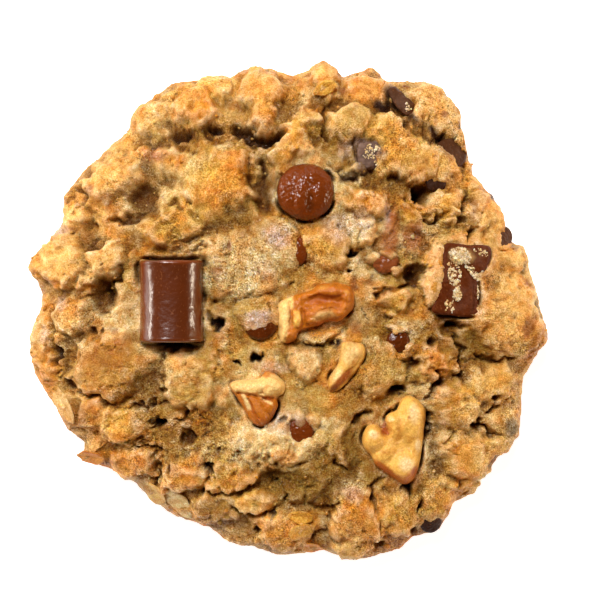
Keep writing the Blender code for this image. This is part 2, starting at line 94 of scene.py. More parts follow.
# Lumps of dough: x, y, half length, half width, turn in degrees, rise, tint.
LUMPS = (
    (-37.0, 26.5, 7.5, 6.0, 35, 3.2, "peach"), (-29.0, 40.5, 5.5, 4.0, 30, 2.2, "peach"),
    (-20.0, 42.0, 5.5, 4.5, 0, 2.6, "orange"), (-22.0, 46.5, 4.0, 3.0, 10, 1.6, "golden"),
    (-15.0, 46.0, 5.0, 3.5, 0, 2.2, "golden"), (-5.5, 45.5, 5.5, 4.5, 0, 2.8, "peach"),
    (-5.0, 40.5, 3.8, 3.2, 20, 2.6, "orange"), (7.5, 49.0, 3.5, 3.2, 0, 2.2, "peach"),
    (8.0, 45.5, 2.6, 2.2, 0, 2.0, "golden"), (16.0, 45.5, 6.5, 5.0, 0, 2.8, "orange"),
    (30.0, 42.0, 8.0, 6.5, -45, 3.0, "peach"), (1.5, 35.0, 4.5, 5.0, 0, 2.6, "golden"),
    (4.0, 40.0, 3.5, 3.0, 0, 2.2, "beige"), (12.5, 38.5, 5.5, 4.5, 0, 2.4, "beige"),
    (20.0, 37.5, 4.0, 4.0, 0, 2.0, "golden"), (-15.0, 26.5, 10.0, 8.6, 50, 3.6, "golden"),
    (-8.5, 23.2, 2.4, 1.8, 0, 2.4, "orange"), (-11.5, 31.0, 4.0, 4.0, 0, 3.2, "orange"),
    (-23.0, 30.0, 5.0, 4.0, 0, 2.4, "beige"), (-24.0, 17.0, 7.5, 4.0, 10, 2.6, "golden"),
    (-38.0, 10.0, 5.5, 4.5, 0, 3.0, "peach"), (-48.0, 10.0, 6.5, 5.5, 0, 2.8, "peach"),
    (-42.0, 6.3, 2.4, 1.8, 0, 2.0, "peach"), (-45.0, -1.0, 4.5, 4.0, 0, 2.2, "peach"),
    (-36.5, -11.5, 10.5, 8.0, 15, 3.0, "brown"), (-50.0, -8.0, 4.5, 7.0, 0, 1.8, "golden"),
    (-34.5, -24.5, 6.5, 5.0, 0, 2.4, "golden"), (-33.0, -32.5, 7.0, 3.5, 25, 2.2, "orange"),
    (-22.0, -34.0, 5.0, 4.0, 0, 3.0, "orange"), (-17.0, -36.0, 1.8, 1.8, 0, 2.6, "orange"),
    (-25.5, -36.5, 1.8, 2.0, 0, 2.4, "orange"), (-13.0, -34.0, 4.6, 3.2, 0, 2.6, "golden"),
    (-8.8, -35.0, 2.0, 1.6, 0, 2.0, "golden"), (-15.0, -41.5, 6.5, 4.5, 15, 2.2, "olive"),
    (-7.5, -40.0, 4.0, 3.2, 0, 2.0, "golden"), (-2.0, -46.0, 7.0, 4.5, 0, 2.6, "golden"),
    (3.0, -36.5, 5.5, 4.5, 0, 1.2, "olive"), (-3.0, -27.0, 12.0, 6.0, 0, 2.2, "cream"),
    (14.0, -43.5, 6.5, 6.0, 0, 3.2, "orange"), (13.5, -50.0, 4.5, 3.0, 0, 2.0, "peach"),
    (23.0, -42.5, 5.5, 5.0, 0, 2.4, "golden"), (31.0, -40.0, 5.0, 4.5, 0, 2.0, "golden"),
    (36.5, -31.0, 7.0, 6.0, -40, 3.0, "golden"), (43.5, -28.5, 4.5, 3.4, 0, 1.8, "golden"),
    (35.0, -20.5, 6.5, 5.5, 0, 2.6, "golden"), (42.0, -15.5, 6.0, 5.0, 0, 2.4, "golden"),
    (30.0, -11.0, 5.0, 4.5, 0, 2.4, "orange"), (46.0, -2.0, 8.0, 9.0, 0, 2.6, "peach"),
    (25.0, 31.0, 8.0, 6.0, -20, 3.0, "golden"), (16.0, 22.5, 5.0, 4.0, 0, 2.4, "orange"),
    (32.0, 21.0, 4.5, 4.0, 0, 2.4, "golden"), (41.0, 20.0, 5.0, 4.5, 0, 2.2, "peach"),
    (47.5, 10.5, 3.5, 4.0, 0, 1.8, "peach"), (-10.0, 9.0, 11.0, 9.0, 0, 2.4, "cream"),
    (8.0, 13.0, 6.0, 5.0, 0, 2.2, "golden"), (19.0, -12.0, 7.0, 5.5, 0, 2.2, "beige"),
    (3.5, -12.0, 4.0, 4.0, 0, 2.2, "cream"), (21.5, 2.0, 4.0, 3.2, 0, 2.0, "golden"),
    (-20.0, -16.0, 7.0, 6.0, 0, 2.2, "beige"), (6.0, -6.0, 4.2, 2.2, 15, 1.6, "golden"),
    (29.6, 7.0, 2.4, 6.5, -12, 2.6, "golden"), (-31.0, 33.0, 3.0, 1.6, 10, 1.0, "orange"),
    (14.0, 16.0, 4.0, 3.5, 0, 1.6, "cream"), (38.5, 28.0, 3.5, 4.5, 20, 1.8, "golden"),
    (-2.0, 30.5, 3.0, 3.0, 0, 1.6, "beige"), (-41.0, -22.0, 4.0, 3.5, 20, 1.8, "brown"),
    (26.0, 18.0, 3.2, 2.6, 0, 1.8, "golden"), (12.0, -29.0, 3.6, 5.0, 0, 1.8, "beige"),
    (-45.0, 20.0, 3.4, 4.0, 0, 1.8, "peach"), (-31.0, 9.0, 1.6, 4.0, 5, 1.8, "golden"),
)

# Hollows in the dough: x, y, half length, half width, turn in degrees, depth.
HOLLOWS = (
    (-24.3, 1.5, 10.0, 12.5, 0, 3.2), (3.5, 24.0, 8.5, 8.0, 0, 1.6), (22.5, -27.0, 11.0, 7.5, 60, 2.4),
    (35.5, 5.5, 7.5, 9.5, 0, 1.8), (-6.5, -19.0, 8.0, 6.0, 45, 1.6), (6.0, 0.5, 9.0, 7.5, 0, 1.2),
    (-5.5, 24.0, 3.2, 7.0, 15, 2.6), (-30.5, 23.0, 4.0, 5.5, 30, 2.4), (-38.5, 2.5, 3.6, 4.2, 0, 3.4),
    (28.0, 23.6, 2.4, 3.0, 0, 4.5), (26.0, 7.0, 3.0, 2.6, 0, 3.2), (34.0, -3.5, 3.0, 2.4, 0, 3.0),
    (13.6, -29.0, 2.6, 6.5, 5, 1.8), (20.5, -18.6, 4.0, 2.6, 15, 1.6), (30.4, -25.0, 2.4, 6.0, 0, 2.0),
    (-1.0, -36.2, 8.0, 3.2, 5, 1.6), (23.6, 43.2, 4.0, 2.6, -50, 1.8), (2.8, -25.4, 3.6, 3.2, 0, 3.0),
)

# Deep holes, their bottoms darkened with painted shade: x, y, half length, half width, turn in degrees,
# depth.
HOLES = (
    (-14.9, -2.9, 1.5, 1.1, 30, 3.6), (-16.2, -2.2, 1.1, 1.3, 0, 2.4), (-16.2, 0.6, 0.9, 1.6, 0, 1.8),
    (-6.6, -9.7, 2.1, 1.0, 5, 4.0), (-10.4, -11.0, 0.8, 0.7, 0, 2.6),
    (-27.3, -24.0, 1.8, 1.6, 0, 4.0), (-28.2, -19.6, 1.0, 1.0, 0, 2.4), (-20.8, -27.2, 2.0, 1.8, 0, 1.9),
    (-16.5, -33.5, 1.5, 1.2, 0, 2.4), (-24.3, -33.0, 1.0, 1.2, 0, 2.2), (-18.0, -38.0, 0.9, 0.9, 0, 2.0),
    (-43.2, -6.7, 0.9, 0.7, 0, 1.8), (-40.5, -4.0, 1.3, 1.1, 0, 2.0), (-37.8, -4.8, 0.8, 0.7, 0, 1.6),
    (-50.8, -14.3, 0.8, 0.7, 0, 1.6), (-3.2, -43.2, 1.1, 0.9, 0, 2.4), (-6.5, -46.5, 1.7, 1.1, 70, 2.6),
    (18.5, -49.0, 0.9, 1.5, 0, 2.4), (24.7, -37.4, 1.7, 1.4, 0, 3.4), (22.6, -16.8, 1.8, 1.5, 0, 3.6),
    (13.7, 11.5, 1.6, 0.8, 10, 3.0), (12.9, 8.5, 0.7, 0.7, 0, 2.2), (38.0, 16.2, 1.0, 2.2, 0, 2.6),
    (29.7, -7.0, 1.0, 1.4, 0, 2.4), (34.8, -36.5, 0.7, 0.6, 0, 1.4), (37.0, -38.5, 0.7, 0.6, 0, 1.4),
    (9.6, -7.2, 1.6, 2.0, 20, 3.2), (34.4, -3.0, 1.9, 1.3, 0, 3.0), (25.6, 6.6, 1.6, 2.0, -15, 2.0),
    (-3.3, -36.0, 1.0, 0.9, 0, 2.0), (20.3, 41.0, 2.0, 0.9, 10, 2.4), (0.9, 5.2, 0.5, 0.5, 0, 1.4),
    (-6.0, 7.3, 0.6, 0.4, 40, 1.2), (27.8, 23.5, 1.6, 2.2, 0, 3.4), (29.6, -23.5, 1.1, 3.6, 0, 3.0),
    (-1.2, -23.0, 1.2, 1.0, 0, 2.2), (-4.0, -0.2, 0.6, 1.1, 0, 1.8), (12.3, -1.5, 0.7, 1.0, 30, 1.8),
    (-38.4, 3.0, 1.4, 1.8, 0, 2.0), (24.2, 43.4, 2.6, 1.6, -45, 1.6), (15.0, -22.0, 1.4, 0.8, 40, 2.0),
    (-23.8, -8.4, 5.0, 1.6, 0, 3.0),
)

# Plateaus whose crumb is smoother: x, y, half length, half width, turn in degrees, share lost.
PLATEAUS = (
    (-14.0, 26.5, 10.0, 10.0, 0, 0.7), (-36.5, -11.5, 12.0, 9.5, 15, 1.0), (-3.0, -27.5, 13.0, 6.5, 0, 0.35),
    (-37.0, 27.0, 8.0, 7.0, 35, 0.45), (16.0, 45.5, 7.5, 6.0, 0, 0.5), (33.0, 39.0, 9.0, 7.0, -45, 0.55),
    (46.0, 1.0, 9.0, 10.0, 0, 0.5), (-38.0, 10.0, 6.5, 5.5, 0, 0.3), (14.0, -43.5, 7.0, 6.5, 0, 0.4),
    (24.0, 31.5, 8.0, 6.0, -20, 0.4), (-18.0, -14.0, 8.0, 7.0, 0, 0.35), (20.0, -12.0, 7.5, 6.0, 0, 0.4),
    (38.0, -30.0, 9.0, 8.0, -40, 0.5), (41.0, -15.0, 9.0, 7.0, 0, 0.45), (-8.0, 11.0, 9.0, 8.0, 0, 0.4),
    (1.0, -44.0, 11.0, 6.0, 0, 0.35), (-26.0, -33.0, 10.0, 7.0, 25, 0.35), (12.0, -30.0, 4.0, 6.0, 0, 0.5),
)

# Cracks: half width, depth, then the points that the crack runs through.
CRACKS = (
    (1.0, 3.2, (-49.8, 0.0), (-49.0, -4.0), (-48.2, -8.5), (-49.0, -12.0), (-48.5, -13.5)),
    (0.8, 2.4, (-34.8, 9.0), (-35.2, 6.0), (-36.8, 4.5), (-37.5, 1.0)),
    (0.7, 2.2, (-30.0, 35.0), (-28.5, 34.2), (-26.3, 33.4)),
    (1.3, 3.4, (-24.0, 36.0), (-21.0, 36.0), (-18.0, 37.3), (-16.0, 36.0)),
    (1.9, 4.2, (-15.5, 38.0), (-12.5, 38.2), (-9.0, 36.6), (-5.0, 35.0), (-2.0, 36.0)),
    (0.8, 2.6, (-42.5, 18.5), (-41.0, 17.5), (-39.5, 15.5), (-41.0, 13.8), (-42.0, 12.5)),
    (1.3, 2.4, (-36.0, 18.5), (-32.0, 19.0), (-29.0, 21.0), (-28.0, 24.0), (-29.5, 27.0), (-28.5, 29.0)),
    (0.7, 2.0, (-25.0, 21.5), (-22.0, 23.0), (-20.0, 22.0)),
    (0.6, 1.8, (-22.0, 26.2), (-20.5, 26.8)),
    (1.2, 2.6, (-8.0, 34.5), (-6.5, 31.5), (-5.6, 28.0), (-5.2, 25.0), (-4.2, 21.0)),
    (0.8, 2.2, (8.5, 29.3), (12.0, 28.0), (14.0, 27.0)),
    (0.7, 2.0, (13.8, 35.0), (13.8, 33.0), (15.0, 31.0)),
    (0.9, 2.2, (8.5, 44.0), (7.5, 38.0), (7.5, 35.5)),
    (0.9, 2.4, (21.0, 27.2), (23.0, 26.3), (25.3, 25.5), (25.0, 22.5), (27.0, 20.8)),
    (0.7, 1.8, (29.0, 18.2), (34.0, 19.8), (37.5, 18.0)),
    (1.0, 2.6, (18.0, 3.0), (20.5, 4.0), (23.0, 4.5), (27.0, 5.0), (28.0, 2.5)),
    (0.5, 1.4, (20.0, -1.3), (21.5, -1.2)),
    (1.0, 2.6, (31.5, -1.8), (36.0, -3.6), (38.5, -3.0)),
    (0.8, 2.4, (34.5, -5.0), (35.5, -8.0), (36.3, -8.5), (35.2, -11.0), (35.0, -14.0)),
    (0.9, 2.4, (31.5, -13.0), (31.5, -15.0), (30.5, -17.0), (29.0, -19.0)),
    (0.6, 1.8, (25.8, -8.0), (26.0, -11.5), (24.5, -14.5)),
    (0.9, 2.4, (13.3, -23.4), (15.0, -22.2), (16.2, -21.7)),
    (0.7, 2.0, (10.0, -32.3), (12.0, -33.5)),
    (0.7, 2.0, (-1.0, -37.0), (-1.0, -40.0), (-3.0, -42.0)),
    (0.9, 2.2, (-12.0, -41.3), (-10.0, -42.0), (-7.0, -42.8), (-5.0, -42.5)),
    (0.9, 2.2, (5.0, -41.5), (8.0, -42.0), (10.0, -40.5)),
    (0.6, 1.6, (31.7, -28.6), (32.8, -28.0), (34.0, -25.5)),
    (0.8, 2.4, (27.5, -41.0), (27.0, -44.0), (26.0, -47.0)),
    (0.7, 2.0, (43.0, -19.0), (43.5, -20.5), (42.0, -22.0)),
    (0.9, 2.4, (38.3, -24.5), (40.0, -24.0), (42.5, -25.5), (44.0, -26.5)),
    (0.8, 2.2, (-36.0, -20.8), (-34.0, -21.3), (-30.0, -20.8), (-28.3, -19.5)),
    (0.7, 2.0, (-26.0, -9.0), (-25.5, -12.0), (-26.0, -14.0), (-25.0, -15.5), (-26.5, -17.5)),
    (0.8, 2.2, (-26.5, -20.0), (-22.0, -19.5), (-21.0, -20.5), (-21.0, -23.0), (-22.5, -23.7)),
    (0.6, 1.8, (-19.5, 11.5), (-17.5, 13.0)),
    (0.6, 1.8, (-17.0, 5.0), (-16.0, 2.0)),
    (0.7, 2.0, (2.0, -7.9), (5.5, -7.7), (8.5, -6.4), (10.0, -4.4), (11.5, -3.2)),
    (0.8, 2.2, (-29.0, -37.5), (-27.5, -33.0), (-28.5, -29.0)),
    (0.8, 2.2, (-32.0, -29.0), (-28.5, -29.0), (-26.0, -29.5)),
    (0.7, 2.0, (-45.5, 5.0), (-44.0, 3.0), (-41.5, 2.5)),
    (0.7, 1.8, (-46.5, -15.5), (-43.5, -17.5), (-38.0, -19.0)),
    (0.7, 2.0, (39.5, -9.0), (41.5, -10.5), (46.0, -10.0)),
    (0.8, 2.2, (36.5, 29.5), (37.0, 25.0), (36.0, 20.0)),
    (0.8, 2.2, (20.5, -35.0), (17.0, -37.5), (18.5, -40.5), (18.5, -45.5)),
    (0.7, 2.0, (4.5, -47.8), (7.5, -46.5), (8.0, -43.0)),
    (0.7, 2.0, (-44.0, 26.0), (-42.5, 23.0), (-44.0, 21.0)),
    (0.6, 1.8, (24.0, 37.5), (24.5, 39.5), (28.0, 37.0)),
    (1.0, 3.2, (28.2, 39.5), (30.0, 37.0), (32.0, 35.2)),
)

# Patches of colour on the dough: x, y, half length, half width, turn in degrees, tint, strength. The shade
# patches are painted shade; the olive patches lie in valleys beside cracks and hollows, partly the dough's
# darker colour and partly painted shade.
PATCHES = (
    (-6.0, -2.2, 4.6, 2.6, 0, "bloom", 0.75), (-2.6, 14.5, 3.6, 4.2, 20, "bloom", 0.6),
    (-1.5, -23.5, 8.0, 3.2, 0, "bloom", 0.5), (10.0, 16.5, 4.2, 4.8, 40, "bloom", 0.5),
    (15.0, 18.0, 3.0, 4.0, 0, "bloom", 0.4), (-48.0, 16.4, 3.6, 1.6, 0, "bloom", 0.7),
    (-51.0, -5.5, 1.6, 3.2, 0, "bloom", 0.6), (12.0, 33.0, 2.4, 3.0, 0, "bloom", 0.45),
    (-4.0, -12.2, 5.0, 1.8, 0, "bloom", 0.35), (-5.0, 8.0, 3.0, 3.0, 0, "bloom", 0.3),
    (-47.4, 1.0, 1.6, 2.6, 0, "bloom", 0.5), (13.0, -38.5, 3.0, 2.0, 0, "bloom", 0.4),
    (-41.5, 24.5, 1.7, 2.2, 0, "stain", 0.8), (-38.6, 22.5, 0.9, 0.9, 0, "stain", 0.7),
    (-44.0, -22.0, 2.0, 2.8, 0, "stain", 0.6), (-38.5, -31.3, 1.2, 1.0, 0, "stain", 0.7),
    (-24.5, -33.0, 1.3, 1.2, 0, "stain", 0.7), (11.0, 45.5, 1.2, 1.0, 0, "stain", 0.8),
    (24.0, 46.8, 1.4, 1.0, 0, "stain", 0.7), (32.3, 40.5, 1.1, 1.1, 0, "stain", 0.7),
    (38.5, 21.0, 1.4, 3.4, 10, "stain", 0.65), (47.3, 12.7, 1.2, 1.0, 0, "stain", 0.6),
    (50.0, 5.5, 0.9, 0.9, 0, "stain", 0.6), (-12.3, 13.2, 0.9, 1.6, 0, "stain", 0.75),
    (-14.6, 8.2, 1.8, 1.2, 15, "stain", 0.75), (13.4, 5.4, 1.3, 2.2, 0, "stain", 0.7),
    (20.5, 3.6, 2.6, 1.0, 25, "stain", 0.7),
    (13.6, -3.6, 2.2, 2.0, 0, "stain", 0.5), (2.8, 12.0, 0.9, 4.2, 12, "stain", 0.8),
    (-2.5, 42.5, 1.0, 1.0, 0, "stain", 0.5), (33.8, 33.0, 3.6, 3.0, 0, "stain", 0.5),
    (-36.0, -4.5, 1.2, 1.0, 0, "stain", 0.6), (8.0, -3.0, 4.6, 1.4, 20, "stain", 0.45),
    (24.5, -35.5, 3.6, 1.6, 0, "stain", 0.5), (46.3, -25.0, 2.0, 3.2, 0, "ash", 0.8),
    (19.5, -24.2, 1.2, 2.0, -30, "skin", 0.95), (-15.0, 24.0, 6.0, 5.0, 20, "orange", 0.75),
    (-9.5, 28.5, 3.4, 5.0, 0, "orange", 0.6), (-31.0, 20.0, 3.0, 4.0, 0, "olive", 0.6),
    (-51.0, -14.0, 3.6, 12.0, -18, "orange", 0.8), (-46.5, -24.0, 3.0, 6.0, -30, "brown", 0.7),
    (-39.0, -31.0, 5.0, 3.0, 20, "orange", 0.7), (-30.0, -38.0, 6.0, 2.6, -30, "olive", 0.6),
    (-1.0, -36.5, 8.0, 3.6, 5, "olive", 0.8), (49.8, -3.5, 1.8, 3.4, -20, "stain", 0.75),
    (12.0, -29.5, 4.6, 9.0, 0, "olive", 0.75), (5.0, -37.5, 6.0, 5.0, 0, "olive", 0.8),
    (38.0, -8.0, 6.5, 5.0, -30, "olive", 0.8), (32.5, -22.0, 3.2, 7.0, 0, "olive", 0.6),
    (51.5, -6.0, 2.4, 4.6, -15, "brown", 0.8), (46.0, -2.0, 3.0, 7.0, 0, "peach", 0.5),
    (30.0, 7.5, 1.8, 6.5, -10, "orange", 0.5), (0.0, 22.0, 1.2, 4.0, 0, "shade", 0.6),
    (-9.0, -44.5, 4.0, 3.0, 0, "olive", 0.5), (-14.0, -45.0, 6.0, 2.0, 20, "olive", 0.7),
    (8.0, 35.0, 3.0, 4.5, 0, "olive", 0.5), (-42.0, 15.5, 3.0, 4.0, 0, "shade", 0.4),
)

# Chocolate, toffee, crumb and painted shade, painted over the relief's painted shade and highlights, with the
# same columns as PATCHES.
# The dark rows at (19.4, 42.2), (25.4, 40.2) and (12.4, 27.6) and the cocoa row at (21.8, 44.0) are painted
# shade in recesses. The shade row is painted shade in a valley; the moss rows darken valleys, partly as the
# dough's darker colour and partly as painted shade.
SMEARS = (
    (21.8, 44.0, 4.6, 2.5, -50, "cocoa", 1.0), (19.4, 42.2, 3.4, 1.5, -12, "dark", 1.0),
    (25.4, 40.2, 2.4, 1.5, -35, "dark", 0.95), (30.4, 36.8, 4.0, 1.4, -52, "cocoa", 1.0),
    (33.0, 34.2, 2.6, 1.4, -42, "cocoa", 0.95), (16.6, 33.4, 4.8, 2.4, -25, "slate", 0.85),
    (15.2, 30.2, 2.2, 3.2, 10, "slate", 0.85), (12.4, 27.6, 3.0, 1.4, 20, "dark", 0.8),
    (42.8, 23.4, 0.9, 1.8, 25, "dark", 0.95), (20.8, 15.6, 2.5, 8.0, -4, "caramel", 0.9),
    (25.2, 14.8, 2.8, 3.8, 0, "caramel", 0.85), (26.8, 17.0, 1.6, 2.4, 20, "stain", 0.7),
    (19.8, 20.0, 1.2, 3.2, 0, "bloom", 0.5), (-28.5, 31.8, 3.6, 2.0, 10, "caramel", 0.7),
    (13.5, -38.5, 2.8, 1.8, 0, "caramel", 0.6), (-5.0, 23.6, 3.2, 5.6, 10, "shade", 0.55),
    (3.0, -36.6, 11.0, 5.6, 0, "moss", 0.7), (13.4, -28.0, 3.0, 8.0, 0, "moss", 0.5),
    (38.0, -8.0, 6.5, 4.6, -30, "moss", 0.5), (2.4, -24.8, 4.2, 3.0, 0, "stain", 0.6),
)

# Tints painted by how much lower or higher a place lies than the dough round it: painted shade in hollows
# (olive, shade), painted highlights on crests (crest) and toast on higher ground (orange). Columns: how many
# cells wide, how many millimetres lower (less than 0: higher), strength, tint.
TOAST_AND_PAINTED_LIGHT = (
    (10, -2.4, 0.3, "orange"), (3, -0.9, 0.38, "crest"), (14, 1.8, 0.6, "olive"), (10, 2.4, 0.8, "shade"),
    (3, 0.9, 0.35, "shade"),
)

# Glazed places, where sugar has melted: x, y, half length, half width, turn in degrees, strength.
GLAZES = (
    (-28.5, 32.0, 3.8, 2.2, 10, 1.0), (13.5, -38.5, 2.8, 1.8, 0, 1.0), (25.0, 14.6, 2.8, 3.8, 0, 1.0),
    (20.6, 15.0, 2.0, 6.6, -4, 0.7), (-2.6, 14.5, 3.0, 3.6, 20, 0.3), (16.6, 33.4, 4.0, 1.8, -25, 0.5),
    (-47.2, 1.0, 1.6, 2.4, 0, 0.8), (-6.0, -3.0, 4.0, 2.2, 0, 0.3), (5.0, -5.6, 4.0, 1.8, 0, 0.6),
)

# Linear colours.
TINTS = {
    "beige": (0.60, 0.350, 0.070), "cream": (0.92, 0.67, 0.290), "olive": (0.37, 0.175, 0.018),
    "golden": (0.78, 0.400, 0.052), "peach": (0.88, 0.49, 0.125), "orange": (0.76, 0.275, 0.020),
    "brown": (0.48, 0.185, 0.018), "shade": (0.13, 0.036, 0.003), "cut_shade": (0.020, 0.007, 0.003),
    "browned_and_shaded": (0.30, 0.105, 0.012),
    "bloom": (0.62, 0.43, 0.32), "stain": (0.24, 0.06, 0.015), "ash": (0.14, 0.10, 0.045),
    "caramel": (0.44, 0.13, 0.018), "chocolate": (0.10, 0.018, 0.002), "milk": (0.17, 0.030, 0.003),
    "flesh": (0.97, 0.63, 0.22), "kernel": (0.88, 0.48, 0.095), "skin": (0.40, 0.09, 0.012),
    "seed": (0.56, 0.165, 0.009), "oat": (0.70, 0.42, 0.14), "bark": (0.20, 0.055, 0.012),
    "crest": (1.0, 0.72, 0.38), "dark": (0.032, 0.009, 0.003), "pale": (1.0, 0.74, 0.37),
    "cocoa": (0.075, 0.025, 0.008), "slate": (0.13, 0.075, 0.055), "moss": (0.27, 0.14, 0.018),
}


# ---- noise and shapes on arrays of points ----


def smooth_step(share):
    share = np.clip(share, 0.0, 1.0)
    return share * share * (3.0 - 2.0 * share)


def lattice_value(corner, seed):
    """A repeatable number from 0 to 1 for each corner of a whole-number lattice."""
    mask = 0xFFFFFFFF
    mixed = corner[:, 0] * 73856093 ^ corner[:, 1] * 19349663 ^ corner[:, 2] * 83492791
    mixed = (mixed ^ (seed * 374761393)) & mask
    mixed = ((mixed ^ (mixed >> 15)) * 2246822519) & mask
    mixed = ((mixed ^ (mixed >> 13)) * 3266489917) & mask
    return (mixed ^ (mixed >> 16)) / mask


def smooth_noise(places, size, seed):
    """Noise from -1 to 1 whose features are about size wide."""
    scaled = places / size
    cell = np.floor(scaled).astype(np.int64)
    share = smooth_step(scaled - cell)
    total = np.zeros(len(places))
    for shift in itertools.product((0, 1), repeat=3):
        weight = np.prod(np.where(np.array(shift) == 1, share, 1.0 - share), axis=1)
        total += weight * lattice_value(cell + np.array(shift), seed)
    return 2.0 * total - 1.0


def layered_noise(places, size, layers, seed):
    """Noise with ever finer and fainter layers."""
    total = np.zeros(len(places))
    for layer in range(layers):
        total += 0.5**layer * smooth_noise(places + 17.3 * layer, size * 0.5**layer, seed + layer)
    return total


def flat_places(x, y):
    return np.stack([x, y, np.zeros_like(x)], axis=1)


def local_distance(x, y, feature):
    """How far each point is from a feature's middle, as a share of its half sizes."""
    centre_x, centre_y, half_length, half_width, turn = feature[:5]
    cos, sin = math.cos(math.radians(turn)), math.sin(math.radians(turn))
    along = (x - centre_x) * cos + (y - centre_y) * sin
    across = (y - centre_y) * cos - (x - centre_x) * sin
    return np.hypot(along / half_length, across / half_width)


def distance_to_path(x, y, points):
    """Distance from each point to the nearest stretch of an open path."""
    nearest = np.full(x.shape, np.inf)
    for (x0, y0), (x1, y1) in zip(points, points[1:]):
        run_x, run_y = x1 - x0, y1 - y0
        share = ((x - x0) * run_x + (y - y0) * run_y) / (run_x**2 + run_y**2)
        share = np.clip(share, 0.0, 1.0)
        nearest = np.minimum(nearest, np.hypot(x - x0 - share * run_x, y - y0 - share * run_y))
    return nearest


def raised(x, y, lumps):
    """The upper envelope of the lumps, so that neighbours meet in a crease."""
    height = np.zeros(x.shape)
    for lump in lumps:
        dome = np.clip(1.0 - local_distance(x, y, lump) ** 2, 0.0, 1.0)
        height = np.maximum(height, lump[5] * dome**0.5)
    return height


def bowls(x, y, hollows):
    """How deep the hollows are at each point."""
    depth = np.zeros(x.shape)
    for hollow in hollows:
        bowl = 1.0 - local_distance(x, y, hollow) ** 2
        depth = np.maximum(depth, hollow[5] * smooth_step(bowl))
    return depth


def grooves(x, y, cracks):
    """How deep the cracks are at each point."""
    depth = np.zeros(x.shape)
    for half_width, crack_depth, *points in cracks:
        share = 1.0 - distance_to_path(x, y, points) / half_width
        depth = np.maximum(depth, crack_depth * smooth_step(share))
    return depth


def blend_tint(colours, tint, weight):
    """Moves each colour towards the tint by its weight."""
    return colours + (np.array(TINTS[tint]) - colours) * weight[:, None]


def paint(colours, x, y, patches):
    """Paints patches with soft edges, one over another."""
    for patch in patches:
        weight = patch[6] * smooth_step(1.6 * (1.0 - local_distance(x, y, patch)))
        colours = blend_tint(colours, patch[5], weight)
    return colours


# ---- the dough's surface ----


def outline_radius(angle):
    """The outline's distance from the cookie's middle."""
    corners = np.array(OUTLINE)
    angles = np.arctan2(corners[:, 1], corners[:, 0])
    order = np.argsort(angles)
    radii = np.hypot(corners[:, 0], corners[:, 1])[order]
    return np.interp(angle, angles[order], radii, period=2.0 * math.pi)


def foot_radius(angle):
    """The outline's distance with its small corners worn away, for the lower part of the side."""
    nearby = np.radians(np.linspace(-FOOT_SPREAD, FOOT_SPREAD, 9))
    return np.mean([outline_radius(angle + turn) for turn in nearby], axis=0)


def crown_height(share):
    """Height of the smooth crown at a share of the way from its middle to its rim."""
    fall = np.clip(1.0 - np.minimum(share, 1.0) ** CROWN_POWER, 0.0, 1.0)
    return RIM_HEIGHT + (CROWN_HEIGHT - RIM_HEIGHT) * fall**CROWN_ROUND


def crown_slope(x, y):
    """The smooth crown's slope along X and Y at a place."""
    step = 1.0
    x, y = np.array([x + step, x - step, x, x]), np.array([y, y, y + step, y - step])
    heights = crown_height(np.hypot(x, y) / outline_radius(np.arctan2(y, x)))
    return np.clip(np.array([heights[0] - heights[1], heights[2] - heights[3]]) / (2.0 * step), -0.9, 0.9)


def bent(places, far, near):
    """The places moved about level, so that what is drawn through them gets a torn edge."""
    shifts = [
        far * layered_noise(places, 4.5, 2, seed) + near * layered_noise(places, 1.4, 2, seed + 10)
        for seed in (11, 31)
    ]
    return places + np.stack(shifts + [np.zeros(len(places))], axis=1)


def torn_noise(places, size, layers, seed):
    """Noise from 0 to 1 with sharp crests and rounded valleys."""
    return 1.0 - np.minimum(1.5 * np.abs(layered_noise(places, size, layers, seed)), 1.0)


def swollen(x, y, lumps):
    """Lumps that run softly into the dough round them and into one another."""
    total = np.zeros(x.shape)
    for lump in lumps:
        total += (lump[5] * smooth_step(1.7 * (1.1 - local_distance(x, y, lump)))) ** 4
    return total**0.25


def terraces(places, size, levels, seed):
    """A staircase of noise from about -0.5 to 0.5: level plates with torn edges."""
    scaled = levels * (0.5 + 0.35 * layered_noise(places, size, 4, seed))
    level = np.floor(scaled)
    return (level + smooth_step((scaled - level - 0.35) / 0.3)) / levels - 0.5


def crumb_relief(places):
    """Torn plates, crests, creases and pores of the crumb, rougher in some places than in others."""
    places = bent(places, 0.7, 0.35)
    calm = 1.0 - bowls(places[:, 0], places[:, 1], PLATEAUS)
    rough = calm * smooth_step(0.4 + 1.2 * smooth_noise(places, 9.0, 51))
    height = (0.8 + 2.0 * calm) * terraces(places, 12.0, 4, 55)
    height += calm * (0.35 + 0.5 * rough) * torn_noise(places, 7.0, 4, 60)
    height += (0.06 + 0.26 * rough) * torn_noise(places, 1.9, 3, 65)
    crease = smooth_step(1.0 - np.abs(layered_noise(places, 6.5, 3, 71)) / 0.05)
    height -= 0.8 * crease * smooth_step(0.2 + 1.4 * smooth_noise(places, 8.0, 75))
    pore = smooth_noise(places, 1.05, 81) + 0.5 * smooth_noise(places, 0.6, 82)
    height -= 0.5 * smooth_step((pore + 0.8 * smooth_noise(places, 7.0, 83) - 0.8) / 0.25)
    return height


